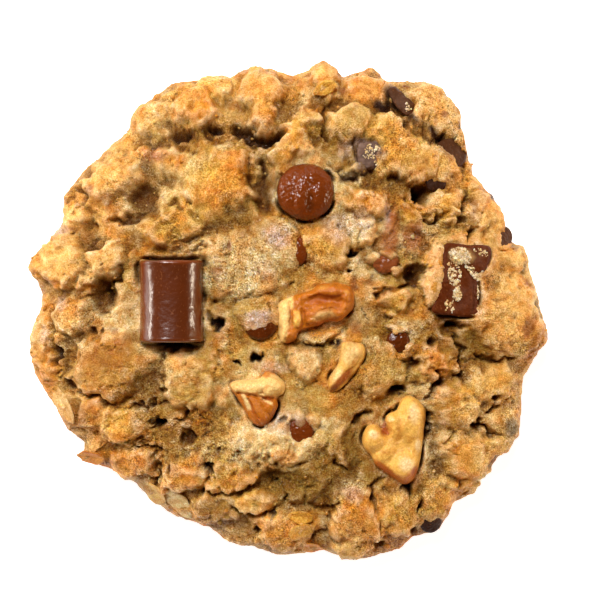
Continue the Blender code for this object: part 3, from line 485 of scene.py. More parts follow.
def dough_relief(places):
    """How far the smooth crown's points move out, and how much painted shade darkens the bottoms of its cuts.
    """
    lump_x, lump_y, _ = bent(places, 1.5, 0.75).T
    soft_x, soft_y, _ = bent(places, 0.7, 0.25).T
    torn_x, torn_y, _ = bent(places, 0.6, 0.85).T
    holes = bowls(torn_x, torn_y, HOLES)
    cracks = grooves(torn_x, torn_y, CRACKS) * smooth_step(0.8 + 1.1 * smooth_noise(places, 3.2, 85))
    cuts = np.maximum(bowls(soft_x, soft_y, HOLLOWS) + holes, cracks)
    # Painted shade at the bottoms of deep holes and cracks.
    dark = np.maximum(smooth_step((holes - 0.8) / 2.4), 0.75 * smooth_step((cracks - 1.2) / 2.4))
    return LUMP_GAIN * swollen(lump_x, lump_y, LUMPS) + crumb_relief(places) - cuts - RELIEF_MEAN, dark


def dough_tint(places):
    """Colour of the dough before its relief's painted shade and highlights: pale in the middle, peach at the
    rim, toasted on its lumps.
    """
    x, y, z = places.T
    share = np.hypot(x, y) / outline_radius(np.arctan2(y, x))
    colours = np.tile(np.array(TINTS["beige"]), (len(x), 1))
    colours = blend_tint(colours, "olive", 0.9 * smooth_step(0.45 + 1.2 * layered_noise(places, 8.0, 3, 61)))
    colours = blend_tint(colours, "cream", 0.7 * smooth_step(0.1 + 1.3 * layered_noise(places, 3.4, 3, 71)))
    broad = 1.6 * layered_noise(places, 13.0, 2, 121)
    colours = blend_tint(colours, "brown", 0.5 * smooth_step(broad - 0.1))
    colours = blend_tint(colours, "cream", 0.45 * smooth_step(-broad - 0.1))
    rim = smooth_step((share - 0.7) / 0.2) * (0.6 + 0.6 * layered_noise(places, 6.0, 2, 81))
    colours = blend_tint(colours, "peach", 0.8 * np.clip(rim, 0.0, 1.0))
    lump_x, lump_y, _ = bent(places, 1.5, 0.75).T
    for lump in LUMPS:
        patchy = 0.65 + 0.5 * smooth_noise(places, 3.5, 87)
        weight = patchy * smooth_step(1.5 * (1.1 - local_distance(lump_x, lump_y, lump)))
        colours = blend_tint(colours, lump[6], np.clip(weight, 0.0, 1.0))
    toast = 1.5 * layered_noise(places, 4.5, 3, 91) - 0.15 + 0.25 * smooth_step((share - 0.6) / 0.3)
    colours = blend_tint(colours, "orange", 0.6 * smooth_step(toast))
    specks = smooth_step(3.0 * (layered_noise(places, 1.7, 2, 93) - 0.62))
    colours = blend_tint(colours, "stain", 0.45 * specks)
    patch_x, patch_y, _ = bent(places, 0.5, 0.5).T
    patched = paint(colours, patch_x, patch_y, PATCHES)
    colours += (patched - colours) * smooth_step((z - 3.0) / 4.0)[:, None]
    # Darker brown towards the bottom of the side: partly the browner baked bottom, partly painted shade.
    under = smooth_step(1.3 * (RIM_HEIGHT - z) / RIM_HEIGHT + 0.3 * layered_noise(places, 3.0, 2, 103))
    colours = blend_tint(colours, "browned_and_shaded", under)
    grain = 1.0 + 0.2 * layered_noise(places, 0.9, 2, 101)
    return colours * grain[:, None]


# ---- meshes ----


def disc_grid(cells):
    """A square grid spread evenly over the unit disc: each point's share of the radius and angle."""
    line = np.linspace(-1.0, 1.0, cells + 1)
    a, b = (values.ravel() for values in np.meshgrid(line, line, indexing="ij"))
    wide = np.abs(a) > np.abs(b)
    radius = np.where(wide, a, b)
    safe = np.where(radius == 0.0, 1.0, radius)
    angle = np.where(wide, math.pi / 4 * b / safe, math.pi / 2 - math.pi / 4 * a / safe)
    return np.abs(radius), np.where(radius < 0.0, angle + math.pi, angle)


def grid_faces(cells):
    """The square grid's faces as rows of four points."""
    index = np.arange((cells + 1) ** 2).reshape(cells + 1, cells + 1)
    corners = (index[:-1, :-1], index[1:, :-1], index[1:, 1:], index[:-1, 1:])
    return np.stack(corners, axis=-1).reshape(-1, 4)


def grid_edge(cells):
    """The grid's boundary points in order, anticlockwise."""
    index = np.arange((cells + 1) ** 2).reshape(cells + 1, cells + 1)
    return np.concatenate([index[:-1, 0], index[-1, :-1], index[:0:-1, -1], index[0, :0:-1]])


def closed_below(points, cells, rings):
    """Adds rings below the grid's edge and a point that closes the last one. Returns points and faces."""
    loop = grid_edge(cells)
    faces = grid_faces(cells).tolist()
    upper = loop
    for ring in rings:
        lower = np.arange(len(points), len(points) + len(loop))
        points = np.vstack([points, ring])
        sides = (lower, np.roll(lower, -1), np.roll(upper, -1), upper)
        faces += np.stack(sides, axis=1).tolist()
        upper = lower
    points = np.vstack([points, rings[-1].mean(axis=0)])
    middle = np.full(len(loop), len(points) - 1)
    faces += np.stack([middle, np.roll(upper, -1), upper], axis=1).tolist()
    return points, faces


def blurred(values, cells, reach):
    """Box blur, twice, of values on the square grid."""
    field = values.reshape(cells + 1, cells + 1)
    width = 2 * reach + 1
    for _ in range(2):
        for axis in (0, 1):
            pads = [(reach + 1, reach) if side == axis else (0, 0) for side in (0, 1)]
            sums = np.cumsum(np.pad(field, pads, mode="edge"), axis=axis)
            high = np.take(sums, range(width, sums.shape[axis]), axis=axis)
            low = np.take(sums, range(0, sums.shape[axis] - width), axis=axis)
            field = (high - low) / width
    return field.ravel()


def node_box(node):
    """A CAD node's lowest and highest corner, in millimetres."""
    low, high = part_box(node)
    return np.array(low) / MM, np.array(high) / MM


def add_piece(name, points, faces, material):
    """A smooth mesh object in metres from points in millimetres."""
    mesh = bpy.data.meshes.new(name)
    mesh.from_pydata((np.asarray(points) * MM).tolist(), [], faces)
    mesh.shade_smooth()
    mesh.materials.append(material)
    piece = bpy.data.objects.new(name, mesh)
    bpy.context.scene.collection.objects.link(piece)
    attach(piece, "root")
    return piece


def set_colours(piece, colours):
    """Stores each point's colour, which the materials read as tint."""
    layer = piece.data.color_attributes.new("tint", "FLOAT_COLOR", "POINT")
    rgba = np.hstack([np.clip(colours, 0.0, 1.0), np.ones((len(colours), 1))])
    layer.data.foreach_set("color", rgba.astype(np.float32).ravel())


def set_values(piece, name, values):
    layer = piece.data.attributes.new(name, "FLOAT", "POINT")
    layer.data.foreach_set("value", np.asarray(values, np.float32))


def piece_array(piece, name):
    """A vertex property of a piece's mesh as an array with three columns."""
    values = np.zeros(len(piece.data.vertices) * 3, np.float32)
    piece.data.vertices.foreach_get(name, values)
    return values.reshape(-1, 3).astype(float)


def move_points(piece, points):
    piece.data.vertices.foreach_set("co", (points * MM).astype(np.float32).ravel())
    piece.data.update()


def push_out(piece, amounts):
    """Moves each point along its normal by so many millimetres."""
    points = piece_array(piece, "co") / MM + piece_array(piece, "normal") * amounts[:, None]
    move_points(piece, points)
    return points


def side_rings(edge):
    """The dough's side, from under its rim in to the flat underside."""
    angle = np.arctan2(edge[:, 1], edge[:, 0])
    reach = np.hypot(edge[:, 0], edge[:, 1])
    foot = np.minimum(foot_radius(angle), reach)
    rings = []
    for inset, height_share in SIDE_RINGS:
        radius = reach + (foot - reach) * smooth_step(1.3 - 1.3 * height_share) - inset
        height = edge[:, 2] * height_share
        rings.append(np.stack([radius * np.cos(angle), radius * np.sin(angle), height], axis=1))
    return rings


def inside_curve(x, y, curve):
    """Which points lie inside a closed curve."""
    inside = np.zeros(x.shape, bool)
    for (x0, y0), (x1, y1) in zip(curve, np.roll(curve, -1, axis=0)):
        if y0 != y1:
            inside ^= ((y0 > y) != (y1 > y)) & (x < x0 + (y - y0) * (x1 - x0) / (y1 - y0))
    return inside


def signed_distance(x, y, curve):
    """Distance from a closed curve, negative inside it."""
    distance = distance_to_path(x, y, np.vstack([curve, curve[:1]]))
    return np.where(inside_curve(x, y, curve), -distance, distance)


def bed_toppings(points):
    """Brings the dough up to each topping, with gaps in places. Returns the painted shade of the gaps."""
    dark = np.zeros(len(points))
    for node, corners, exposed in BEDS:
        low, high = node_box(node)
        near = np.all(np.abs(points[:, :2] - (low + high)[:2] / 2.0) < (high - low)[:2] / 2.0 + 6.0, axis=1)
        x, y, z = points[near].T
        distance = signed_distance(x, y, closed_curve(corners, 96))
        bank = 0.85 * smooth_step(1.0 - distance / BANK_REACH)
        uneven = 0.5 * layered_noise(points[near], 2.4, 2, 211)
        z = z + bank * np.clip(high[2] - exposed + uneven - z, -BANK_LIMIT, BANK_LIMIT)
        opening = np.clip(0.1 + 0.35 * layered_noise(points[near], 2.6, 2, 221) + bowls(x, y, GAPS), 0.0, 1.0)
        width = 0.35 + 0.55 * opening
        gap = opening * smooth_step(1.0 - np.abs(distance - 0.1) / width)
        z = z - GAP_DEPTH * gap
        z = np.where(distance < -0.6, np.minimum(z, low[2] + 1.5), z)
        points[near, 2] = z
        # Painted shade in the gaps.
        dark[near] = np.maximum(dark[near], 0.85 * gap)
    return dark


def cover_toppings(points):
    """Lays dough over the hidden part of a sunk piece, which leans as the crown does."""
    x, y, _ = bent(points, 0.4, 0.4).T
    for cover in COVERS:
        low, high = node_box(cover[5])
        middle, half = (low + high) / 2.0, (high - low) / 2.0
        slope = crown_slope(*middle[:2])
        dome = np.clip(1.0 - local_distance(x, y, cover) ** 2, 0.0, 1.0)
        over = dome > 0.0
        level = high[2] - min(half[:2]) * math.hypot(*slope) + (points[over, :2] - middle[:2]) @ slope
        uneven = 0.25 * layered_noise(points[over], 1.6, 2, 231)
        height = level - COVER_START + COVER_RISE * dome[over] ** 0.5 + uneven
        points[over, 2] = np.maximum(points[over, 2], height)


def smooth_dough():
    """The dough before its relief: points, faces and how many of the points are on top."""
    share, angle = disc_grid(TOP_CELLS)
    outer = outline_radius(angle) - RIM_GROWTH
    reach = MEAN_RADIUS + smooth_step(share) * (outer - MEAN_RADIUS)
    x, y = share * reach * np.cos(angle), share * reach * np.sin(angle)
    top = np.stack([x, y, crown_height(share)], axis=1)
    points, faces = closed_below(top, TOP_CELLS, side_rings(top[grid_edge(TOP_CELLS)]))
    return points, faces, len(top)


def shape_dough(piece, points, count):
    """Gives the dough its relief and fits it to the toppings.

    Returns all points, how far out each upper one has come, and how much painted shade darkens each place's
    cuts.
    """
    relief, dark = dough_relief(points)
    steep = 1.0 - np.clip(piece_array(piece, "normal")[:, 2], 0.0, 1.0)
    relief *= smooth_step(points[:, 2] / 3.0) * (1.0 - RIM_CALM * steep)
    points = push_out(piece, relief)
    upper = points[:count]
    before = upper[:, 2].copy()
    dark[:count] = np.maximum(dark[:count], bed_toppings(upper))
    cover_toppings(upper)
    relief[:count] += np.clip(upper[:, 2] - before, -2.0, 2.0)
    move_points(piece, points)
    points = push_out(piece, smooth_step(points[:, 2] / 1.5) * 0.12 * layered_noise(points, 0.8, 2, 131))
    return points, relief[:count], dark


def colour_dough(piece, points, relief, dark):
    """Stores the dough's colours, with painted shade and highlights from its relief and painted shade in its
    cuts, and how rough and how glazed each point is.
    """
    colours = dough_tint(points)
    rough = 0.4 + 0.8 * smooth_noise(points, 6.0, 241)
    # Painted shade in hollows, painted highlights on crests and toast on high ground; hollows rougher, high
    # ground smoother.
    for cells, depth, strength, tint in TOAST_AND_PAINTED_LIGHT:
        weight = np.zeros(len(points))
        weight[:len(relief)] = smooth_step((blurred(relief, TOP_CELLS, cells) - relief) / depth)
        colours = blend_tint(colours, tint, strength * weight)
        rough += 0.4 * weight if depth > 0.0 else -0.2 * weight
    smear_x, smear_y, _ = bent(points, 0.5, 0.5).T
    colours = paint(colours, smear_x, smear_y, SMEARS)
    # Painted shade at the bottoms of cuts and in the gaps.
    set_colours(piece, blend_tint(colours, "cut_shade", dark))
    set_values(piece, "rough", np.clip(rough, 0.0, 1.0))
    glaze = np.zeros(len(points))
    for spot in GLAZES:
        near = spot[5] * smooth_step(1.5 * (1.0 - local_distance(points[:, 0], points[:, 1], spot)))
        glaze = np.maximum(glaze, near)
    set_values(piece, "glaze", glaze)


def make_dough(material):
    """The dough with its relief and colours. Returns its upper points."""
    points, faces, count = smooth_dough()
    piece = add_piece("dough", points, faces, material)
    points, relief, dark = shape_dough(piece, points, count)
    colour_dough(piece, points, relief, dark)
    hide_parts("cookie_dough")
    return points[:count]


def plan_tree(surface):
    """The surface's points in a tree that finds them by their place seen from above."""
    tree = KDTree(len(surface))
    for index, (x, y, _) in enumerate(surface):
        tree.insert((x, y, 0.0), index)
    tree.balance()
    return tree


def ground(surface, tree, x, y, reach):
    """Height and slope of the plane that fits the surface round a place."""
    found = [index for _, index, _ in tree.find_range((x, y, 0.0), reach)]
    near = surface[found or [tree.find((x, y, 0.0))[1]]]
    sides = np.column_stack([np.ones(len(near)), near[:, 0] - x, near[:, 1] - y])
    height, slope_x, slope_y = np.linalg.lstsq(sides, near[:, 2], rcond=None)[0]
    return height, np.clip((slope_x, slope_y), -1.2, 1.2)


# ---- toppings ----


def closed_curve(corners, sides):
    """A smooth closed curve through the corners, as an array of points."""
    corners = np.array(corners)
    count = len(corners)
    at = np.arange(sides) * count / sides
    index = at.astype(int)
    share = (at - index)[:, None]
    p0, p1, p2, p3 = (corners[(index + shift) % count] for shift in (-1, 0, 1, 2))
    bend = 2.0 * p1 + (p2 - p0) * share + (2.0 * p0 - 5.0 * p1 + 4.0 * p2 - p3) * share**2
    return (bend + (3.0 * p1 - p0 - 3.0 * p2 + p3) * share**3) / 2.0


def anticlockwise(curve):
    """The same closed curve, turned round if it runs clockwise."""
    after = np.roll(curve, -1, axis=0)
    area = np.sum(curve[:, 0] * after[:, 1] - after[:, 0] * curve[:, 1])
    return curve if area > 0.0 else curve[::-1]


def filled_outline(curve, cells):
    """A square grid of points spread inside a closed curve, its edge along the curve."""
    curve = anticlockwise(curve)
    middle = curve.mean(axis=0)
    off = curve - middle
    first = np.argmax(-off[:, 0] - off[:, 1])  # the grid's first corner points down to the left
    curve = np.roll(curve, -first, axis=0)
    loop = np.vstack([curve, curve[:1]])
    run = np.concatenate([[0.0], np.cumsum(np.hypot(*np.diff(loop, axis=0).T))])
    steps = np.linspace(0.0, run[-1], 4 * cells + 1)
    rim = np.stack([np.interp(steps, run, loop[:, axis]) for axis in (0, 1)], axis=1)
    share, angle = disc_grid(cells)
    at = np.mod(angle / (2.0 * math.pi) - 0.625, 1.0) * 4 * cells
    outer = np.stack([np.interp(at, np.arange(4 * cells + 1), rim[:, axis]) for axis in (0, 1)], axis=1)
    field = (middle + share[:, None] * (outer - middle)).reshape(cells + 1, cells + 1, 2)
    field.reshape(-1, 2)[grid_edge(cells)] = rim[:-1]
    for _ in range(500):
        around = field[:-2, 1:-1] + field[2:, 1:-1] + field[1:-1, :-2] + field[1:-1, 2:]
        field[1:-1, 1:-1] = around / 4.0
    return field.reshape(-1, 2)


def topping_relief(x, y, looks):
    """Height of a topping's own lumps, cuts and swells. Swells add up where they meet."""
    bend_x, bend_y, _ = bent(flat_places(x, y), 0.12, 0.12).T
    relief = raised(bend_x, bend_y, looks.get("lumps", ())) - grooves(bend_x, bend_y, looks.get("cuts", ()))
    for swell in looks.get("swells", ()):
        relief += bowls(x, y, [swell])
    return relief


def topping_shape(node, looks):
    """A dome of the node's own height over the curve, closed below: points, faces, upper points' count."""
    low, high = node_box(node)
    curve, cells = looks["curve"], looks["cells"]
    middle = curve.mean(axis=0)
    x, y = filled_outline(curve, cells).T
    inward = -signed_distance(x, y, curve)
    side, rounding = looks["dome"]
    slope = crown_slope(*middle) + np.array(looks.get("lean", (0.0, 0.0)))
    tilt = slope[0] * (x - middle[0]) + slope[1] * (y - middle[1])
    spread = tilt.max() - tilt.min()
    height = high[2] - low[2] - spread
    foot = low[2] + spread / 2.0
    profile = side + (1.0 - side) * np.sqrt(1.0 - (1.0 - np.clip(inward / rounding, 0.0, 1.0)) ** 2)
    z = foot + height * profile + tilt + topping_relief(x, y, looks) * smooth_step(inward / 0.9)
    top = np.stack([x, y, z], axis=1)
    edge = top[grid_edge(cells)]
    centre = np.array([middle[0], middle[1], 0.0])
    rings = []
    for share, down in TOPPING_RINGS:
        ring = centre + (edge - centre) * np.array([share, share, 1.0])
        ring[:, 2] = edge[:, 2] + (foot + tilt[grid_edge(cells)] - edge[:, 2]) * down
        rings.append(ring)
    points, faces = closed_below(top, cells, rings)
    return points, faces, len(top)


def topping_colours(points, looks):
    colours = np.tile(np.array(TINTS[looks["tint"]]), (len(points), 1))
    patch_x, patch_y, _ = bent(points, 0.15, 0.2).T
    for tint, softness, corners in looks.get("areas", ()):
        outside = signed_distance(patch_x, patch_y, np.array(corners))
        colours = blend_tint(colours, tint, smooth_step(0.5 - outside / softness))
    colours = paint(colours, patch_x, patch_y, looks.get("patches", ()))
    return colours * (1.0 + 0.08 * layered_noise(points, 0.8, 2, 151))[:, None]


def make_topping(name, node, looks, material):
    """A piece in the place of a CAD node. Returns its upper points.

    looks holds its curve, the cells across its mesh, its dome (share of the height that the side
    stands, how far in from the curve the dome rounds) and its tint. It may also hold a lean beyond
    the crown's, how rough the piece is, and lumps, cuts, swells, areas and patches.
    """
    points, faces, count = topping_shape(node, looks)
    piece = add_piece(name, points, faces, material)
    points = push_out(piece, looks.get("rough", 0.05) * layered_noise(points, 1.0, 2, 141))
    set_colours(piece, topping_colours(points, looks))
    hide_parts(node)
    return points[:count]


def circle_curve(x, y, radius):
    turns = np.linspace(0.0, 2.0 * math.pi, 64, endpoint=False)
    return np.stack([x + radius * np.cos(turns), y + radius * np.sin(turns)], axis=1)


def roll_profile(half, radius):
    """The roll's half section from end to end, as places along it and its radius there."""
    inner = radius - ROLL_EDGE
    bends = np.radians(np.linspace(0.0, 90.0, 7))
    cap = [
        (half - ROLL_EDGE + ROLL_EDGE * math.sin(bend), inner + ROLL_EDGE * math.cos(bend)) for bend in bends
    ]
    face = [(half - ROLL_DISH * (1.0 - share**2), inner * share) for share in (0.9, 0.75, 0.55, 0.3, 0.1)]
    places = np.linspace(0.0, half - ROLL_EDGE, 40)[:-1]
    body = [(along, radius - ROLL_WAIST * (1.0 - (along / half) ** 2)) for along in places]
    return [(-along, reach) for along, reach in reversed(body[1:] + cap + face)] + body + cap + face


def roll_faces(rows):
    """Faces between the rows of points, and a fan at each end to the two points after them."""
    faces = []
    for row, step in itertools.product(range(rows - 1), range(ROLL_SIDES)):
        after = (step + 1) % ROLL_SIDES
        start, above = row * ROLL_SIDES, (row + 1) * ROLL_SIDES
        faces.append((start + step, above + step, above + after, start + after))
    last, end = (rows - 1) * ROLL_SIDES, rows * ROLL_SIDES
    for step in range(ROLL_SIDES):
        after = (step + 1) % ROLL_SIDES
        faces.append((end, step, after))
        faces.append((end + 1, last + after, last + step))
    return faces


def make_roll(material):
    """The chocolate roll on its side, a little waisted, with rounded ends."""
    low, high = node_box("chocolate_roll")
    centre = (low + high) / 2.0
    radius, half = (high[0] - low[0]) / 2.0, (high[1] - low[1]) / 2.0
    profile = roll_profile(half, radius)
    turns = np.linspace(0.0, 2.0 * math.pi, ROLL_SIDES, endpoint=False)
    sin, cos = np.sin(turns), np.cos(turns)
    section = (np.abs(sin) ** ROLL_SQUARENESS + np.abs(cos) ** ROLL_SQUARENESS) ** (-1.0 / ROLL_SQUARENESS)
    rows = [
        centre + np.stack([reach * section * sin, np.full(ROLL_SIDES, along), reach * section * cos], axis=1)
        for along, reach in profile
    ]
    end = np.array([0.0, half - ROLL_DISH, 0.0])
    points = np.vstack(rows + [centre - end, centre + end])
    piece = add_piece("roll", points, roll_faces(len(profile)), material)
    dents = 0.08 * layered_noise(points, 4.0, 2, 161) + 0.012 * layered_noise(points, 1.0, 2, 171)
    points = push_out(piece, dents - 0.05)
    colours = np.tile(np.array(TINTS["chocolate"]), (len(points), 1))
    # Painted light on the sides: lighter and redder in the milk tint towards them.
    outer = np.abs(points[:, 0] - centre[0]) / radius
    colours = blend_tint(colours, "milk", 0.9 * smooth_step((outer - 0.6) / 0.35))
    set_colours(piece, paint(colours, points[:, 0], points[:, 1], ROLL_PATCHES))
    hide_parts("chocolate_roll")


# How far out each ring below a topping's edge is, and how far down, both as shares.
TOPPING_RINGS = ((1.01, 0.2), (0.98, 0.45), (0.9, 0.75), (0.72, 1.0))

ROLL_SIDES = 144
ROLL_EDGE = 0.6  # radius of the rounding where its ends begin
ROLL_DISH = 0.25  # how far its ends sink in the middle
ROLL_WAIST = 0.3  # how much narrower it is in the middle
ROLL_SQUARENESS = 2.2  # 2 would make its section a circle
ROLL_OUTLINE = (
    (-31.0, 10.0), (-26.5, 10.1), (-22.0, 10.1), (-17.7, 10.0), (-17.6, 4.0), (-17.7, -6.8), (-22.0, -7.0),
    (-26.5, -7.0), (-31.0, -6.8), (-30.9, -1.0), (-30.9, 4.0),
)
# Painted light on the ends: the milk tint along the top end and the bottom end. A faint milk patch lies in
# the middle.
ROLL_PATCHES = (
    (-22.5, 9.9, 5.5, 0.9, 0, "milk", 1.0), (-24.0, 4.5, 3.5, 2.5, 0, "milk", 0.15),
    (-24.0, -6.6, 6.5, 0.6, 0, "milk", 0.6),
)
# In the looks below, lumps and swells are as LUMPS without a tint, cuts as CRACKS and patches as PATCHES.
# An area is a tint, how soft its edge is, and its corners.
LARGE_CHIP = {
    "outline": (
        (9.4, 24.3), (8.5, 27.5), (5.6, 29.8), (1.3, 29.8), (-1.6, 27.5), (-2.5, 24.3), (-1.6, 21.0),
        (1.2, 18.9), (3.5, 18.3), (6.0, 19.0), (8.5, 21.0),
    ),
    "sides": 120, "cells": 64, "dome": (0.45, 5.0), "tint": "milk", "rough": 0.04,
    "swells": (
        (2.6, 24.6, 1.5, 6.0, -6, 0.4), (6.6, 23.4, 2.2, 2.8, 0, 0.3), (5.0, 27.4, 2.4, 1.4, 20, 0.25),
    ),
    "cuts": ((1.3, 0.45, (4.4, 23.2), (4.2, 20.4)),),
    # The first patch darkens the cut down the chip: painted shade in its crease.
    "patches": ((4.4, 21.6, 1.4, 2.6, 0, "chocolate", 0.8), (7.6, 23.4, 1.6, 4.0, 10, "chocolate", 0.35)),
}
LARGE_CHUNK = {
    "outline": (
        (32.3, 13.4), (37.0, 13.3), (41.8, 12.8), (41.0, 8.4), (39.2, 7.0), (39.3, 3.5), (39.4, 0.2),
        (38.7, -1.6), (34.0, -1.3), (29.7, -0.5), (30.4, 3.0), (31.4, 6.5), (31.8, 10.0),
    ),
    "sides": 160, "cells": 56, "dome": (0.93, 0.7), "lean": (-0.14, 0.05), "tint": "chocolate", "rough": 0.1,
    "swells": ((36.0, 11.0, 3.4, 2.4, 10, 0.7), (34.8, 3.2, 1.6, 2.4, 0, 0.6)),
    "cuts": ((0.5, 0.4, (36.4, 9.4), (38.0, 6.0), (38.6, 0.0)),),
    "patches": (
        (35.8, 11.0, 3.4, 2.0, -8, "oat", 0.8), (34.8, 3.0, 1.0, 1.6, 0, "oat", 0.7),
        (34.2, 6.8, 1.6, 4.0, 8, "bark", 0.9), (33.6, 0.8, 1.2, 1.6, 0, "bark", 0.7),
        (40.2, 11.6, 1.6, 1.4, 0, "bark", 0.7),
    ),
}
# Crumbs on the chunks: x, y, half length, half width, turn in degrees, how many.
CHUNK_CRUMBS = (
    (35.4, 11.0, 2.4, 1.7, -8, 240), (34.8, 3.0, 0.9, 1.4, 0, 90), (34.2, 7.2, 1.3, 3.4, 8, 110),
    (37.8, 8.2, 0.6, 3.4, 35, 90), (33.4, 0.6, 1.4, 1.4, 0, 24), (39.6, 5.0, 0.5, 3.0, -10, 30),
    (39.8, 11.8, 1.6, 0.8, -20, 30), (17.0, 32.6, 2.0, 1.5, 20, 70), (19.0, 30.6, 1.2, 1.4, 0, 30),
    (24.6, 42.0, 1.2, 0.8, -45, 16),
)
CENTRE_NUT = {
    "outline": (
        (-2.4, 0.2), (-2.1, 1.4), (0.0, 2.4), (1.8, 3.1), (4.6, 3.9), (6.2, 5.0), (9.0, 5.5),
        (11.5, 5.2), (12.9, 4.2), (13.4, 2.5), (13.2, 0.5), (12.0, -1.1), (10.4, -2.4), (7.6, -2.6),
        (6.0, -3.4), (4.0, -3.9), (2.2, -4.6), (1.5, -6.2), (-0.4, -7.0), (-1.8, -6.3), (-2.1, -3.2),
    ),
    "sides": 160, "cells": 64, "dome": (0.55, 2.2), "lean": (0.06, 0.0), "tint": "seed", "rough": 0.14,
    "lumps": (
        (9.0, 4.1, 4.4, 1.3, 0, 0.9), (12.1, 1.8, 1.2, 2.6, 0, 0.8), (10.4, -1.0, 2.4, 1.2, 15, 0.8),
        (1.7, -1.9, 0.9, 2.2, 8, 0.9), (-1.0, -2.4, 1.2, 4.4, -6, 0.8), (7.0, -1.1, 1.9, 0.9, 20, 0.5),
        (0.6, -5.5, 1.5, 1.1, 20, 0.6), (3.6, 0.3, 0.8, 0.6, 0, 0.4), (5.2, 3.5, 1.6, 0.8, 25, 0.6),
        (7.0, 0.6, 1.0, 0.6, 20, 0.3), (4.6, -2.6, 1.2, 0.8, 0, 0.4),
    ),
    "swells": ((7.0, -0.4, 3.4, 1.6, 15, 0.5), (4.4, -1.6, 1.6, 1.8, 0, 0.5), (12.0, 3.0, 1.6, 1.6, 0, 0.5)),
    "cuts": (
        (1.4, 0.9, (3.4, 1.6), (6.0, 2.2), (8.6, 2.0), (10.6, 1.4)), (0.5, 0.6, (0.4, 1.6), (0.5, -3.6)),
        (0.5, 0.5, (2.8, 0.2), (3.0, -3.8)), (0.7, 0.5, (8.8, 0.2), (9.6, -1.8)),
    ),
    "areas": (
        ("flesh", 0.6, ((-2.8, 1.6), (0.8, 2.8), (1.0, 0.2), (0.4, -0.6), (0.3, -3.5), (-0.2, -4.5),
                        (-0.6, -7.4), (-2.2, -6.8), (-2.8, -3.0))),
        ("kernel", 0.6, ((0.9, -0.3), (2.2, -0.4), (2.7, -1.8), (2.2, -3.6), (1.2, -3.7), (0.8, -2.0))),
        ("oat", 1.4, ((4.8, -1.8), (6.2, -0.4), (8.6, -0.2), (9.4, -1.2), (7.6, -1.8), (6.0, -2.4))),
    ),
    "patches": (
        (7.0, 4.4, 1.6, 0.6, 10, "kernel", 0.5), (11.8, 3.6, 0.8, 0.6, 0, "kernel", 0.4),
        (6.2, -3.0, 1.6, 0.7, 15, "skin", 0.8), (0.6, -1.0, 0.6, 1.6, 5, "seed", 0.5),
        (6.6, 1.9, 4.6, 1.2, 4, "skin", 0.7), (10.0, 0.6, 1.6, 1.0, -30, "skin", 0.4),
        (3.4, -0.6, 0.9, 2.2, 0, "skin", 0.5), (0.2, -5.8, 1.4, 0.9, 20, "seed", 0.7),
        (8.4, 2.6, 5.6, 3.2, 8, "skin", 0.3), (8.8, -2.2, 3.0, 0.8, 12, "skin", 0.5),
    ),
}
SMALL_NUT = {
    "outline": (
        (-12.3, -15.9), (-11.0, -14.8), (-7.2, -14.5), (-5.9, -14.2), (-4.8, -12.9), (-3.4, -13.1),
        (-2.1, -14.0), (-0.8, -15.6), (-1.2, -17.5), (-2.6, -18.1), (-2.3, -20.0), (-3.4, -22.4),
        (-4.8, -24.0), (-6.3, -24.2), (-7.9, -23.0), (-9.2, -20.8), (-10.7, -18.4),
    ),
    "sides": 160, "cells": 64, "dome": (0.55, 2.2), "lean": (0.0, 0.04), "tint": "seed",
    "lumps": (
        (-8.0, -15.9, 4.2, 1.6, 4, 1.0), (-3.4, -15.6, 2.4, 2.2, 30, 1.2), (-9.0, -18.4, 0.7, 2.8, 32, 0.6),
        (-3.6, -20.0, 1.2, 2.2, 10, 0.9), (-6.6, -20.6, 1.4, 3.6, 28, 0.5),
    ),
    "cuts": (
        (0.5, 0.9, (-10.4, -17.2), (-7.5, -17.7), (-5.0, -18.3)), (0.35, 0.5, (-8.4, -18.4), (-6.2, -22.5)),
        (0.7, 1.2, (-5.2, -18.4), (-3.4, -18.4)),
    ),
    "areas": (
        ("flesh", 0.5, ((-12.6, -16.2), (-11.2, -14.4), (-7.2, -14.0), (-5.4, -13.9), (-4.6, -13.2),
                        (-2.2, -13.6), (-0.4, -15.6), (-0.8, -17.7), (-2.4, -18.3), (-4.2, -18.0),
                        (-5.6, -18.1), (-8.0, -17.8), (-10.0, -17.2), (-11.4, -16.9))),
        ("cream", 0.6, ((-9.8, -17.6), (-9.0, -17.6), (-7.6, -20.6), (-8.4, -20.8))),
        ("cream", 0.5, ((-5.8, -18.3), (-4.8, -19.1), (-3.4, -19.7), (-3.3, -19.2), (-4.6, -18.6))),
        ("skin", 0.6, ((-5.4, -18.1), (-3.4, -18.2), (-3.4, -18.8), (-4.6, -18.9))),
    ),
    "patches": (
        (-6.0, -23.2, 2.0, 1.8, 0, "skin", 0.6), (-7.2, -20.8, 0.5, 3.2, 28, "skin", 0.5),
        (-4.6, -13.6, 1.2, 0.7, 0, "seed", 0.8), (-4.9, -16.4, 0.5, 1.6, -30, "seed", 0.4),
    ),
}
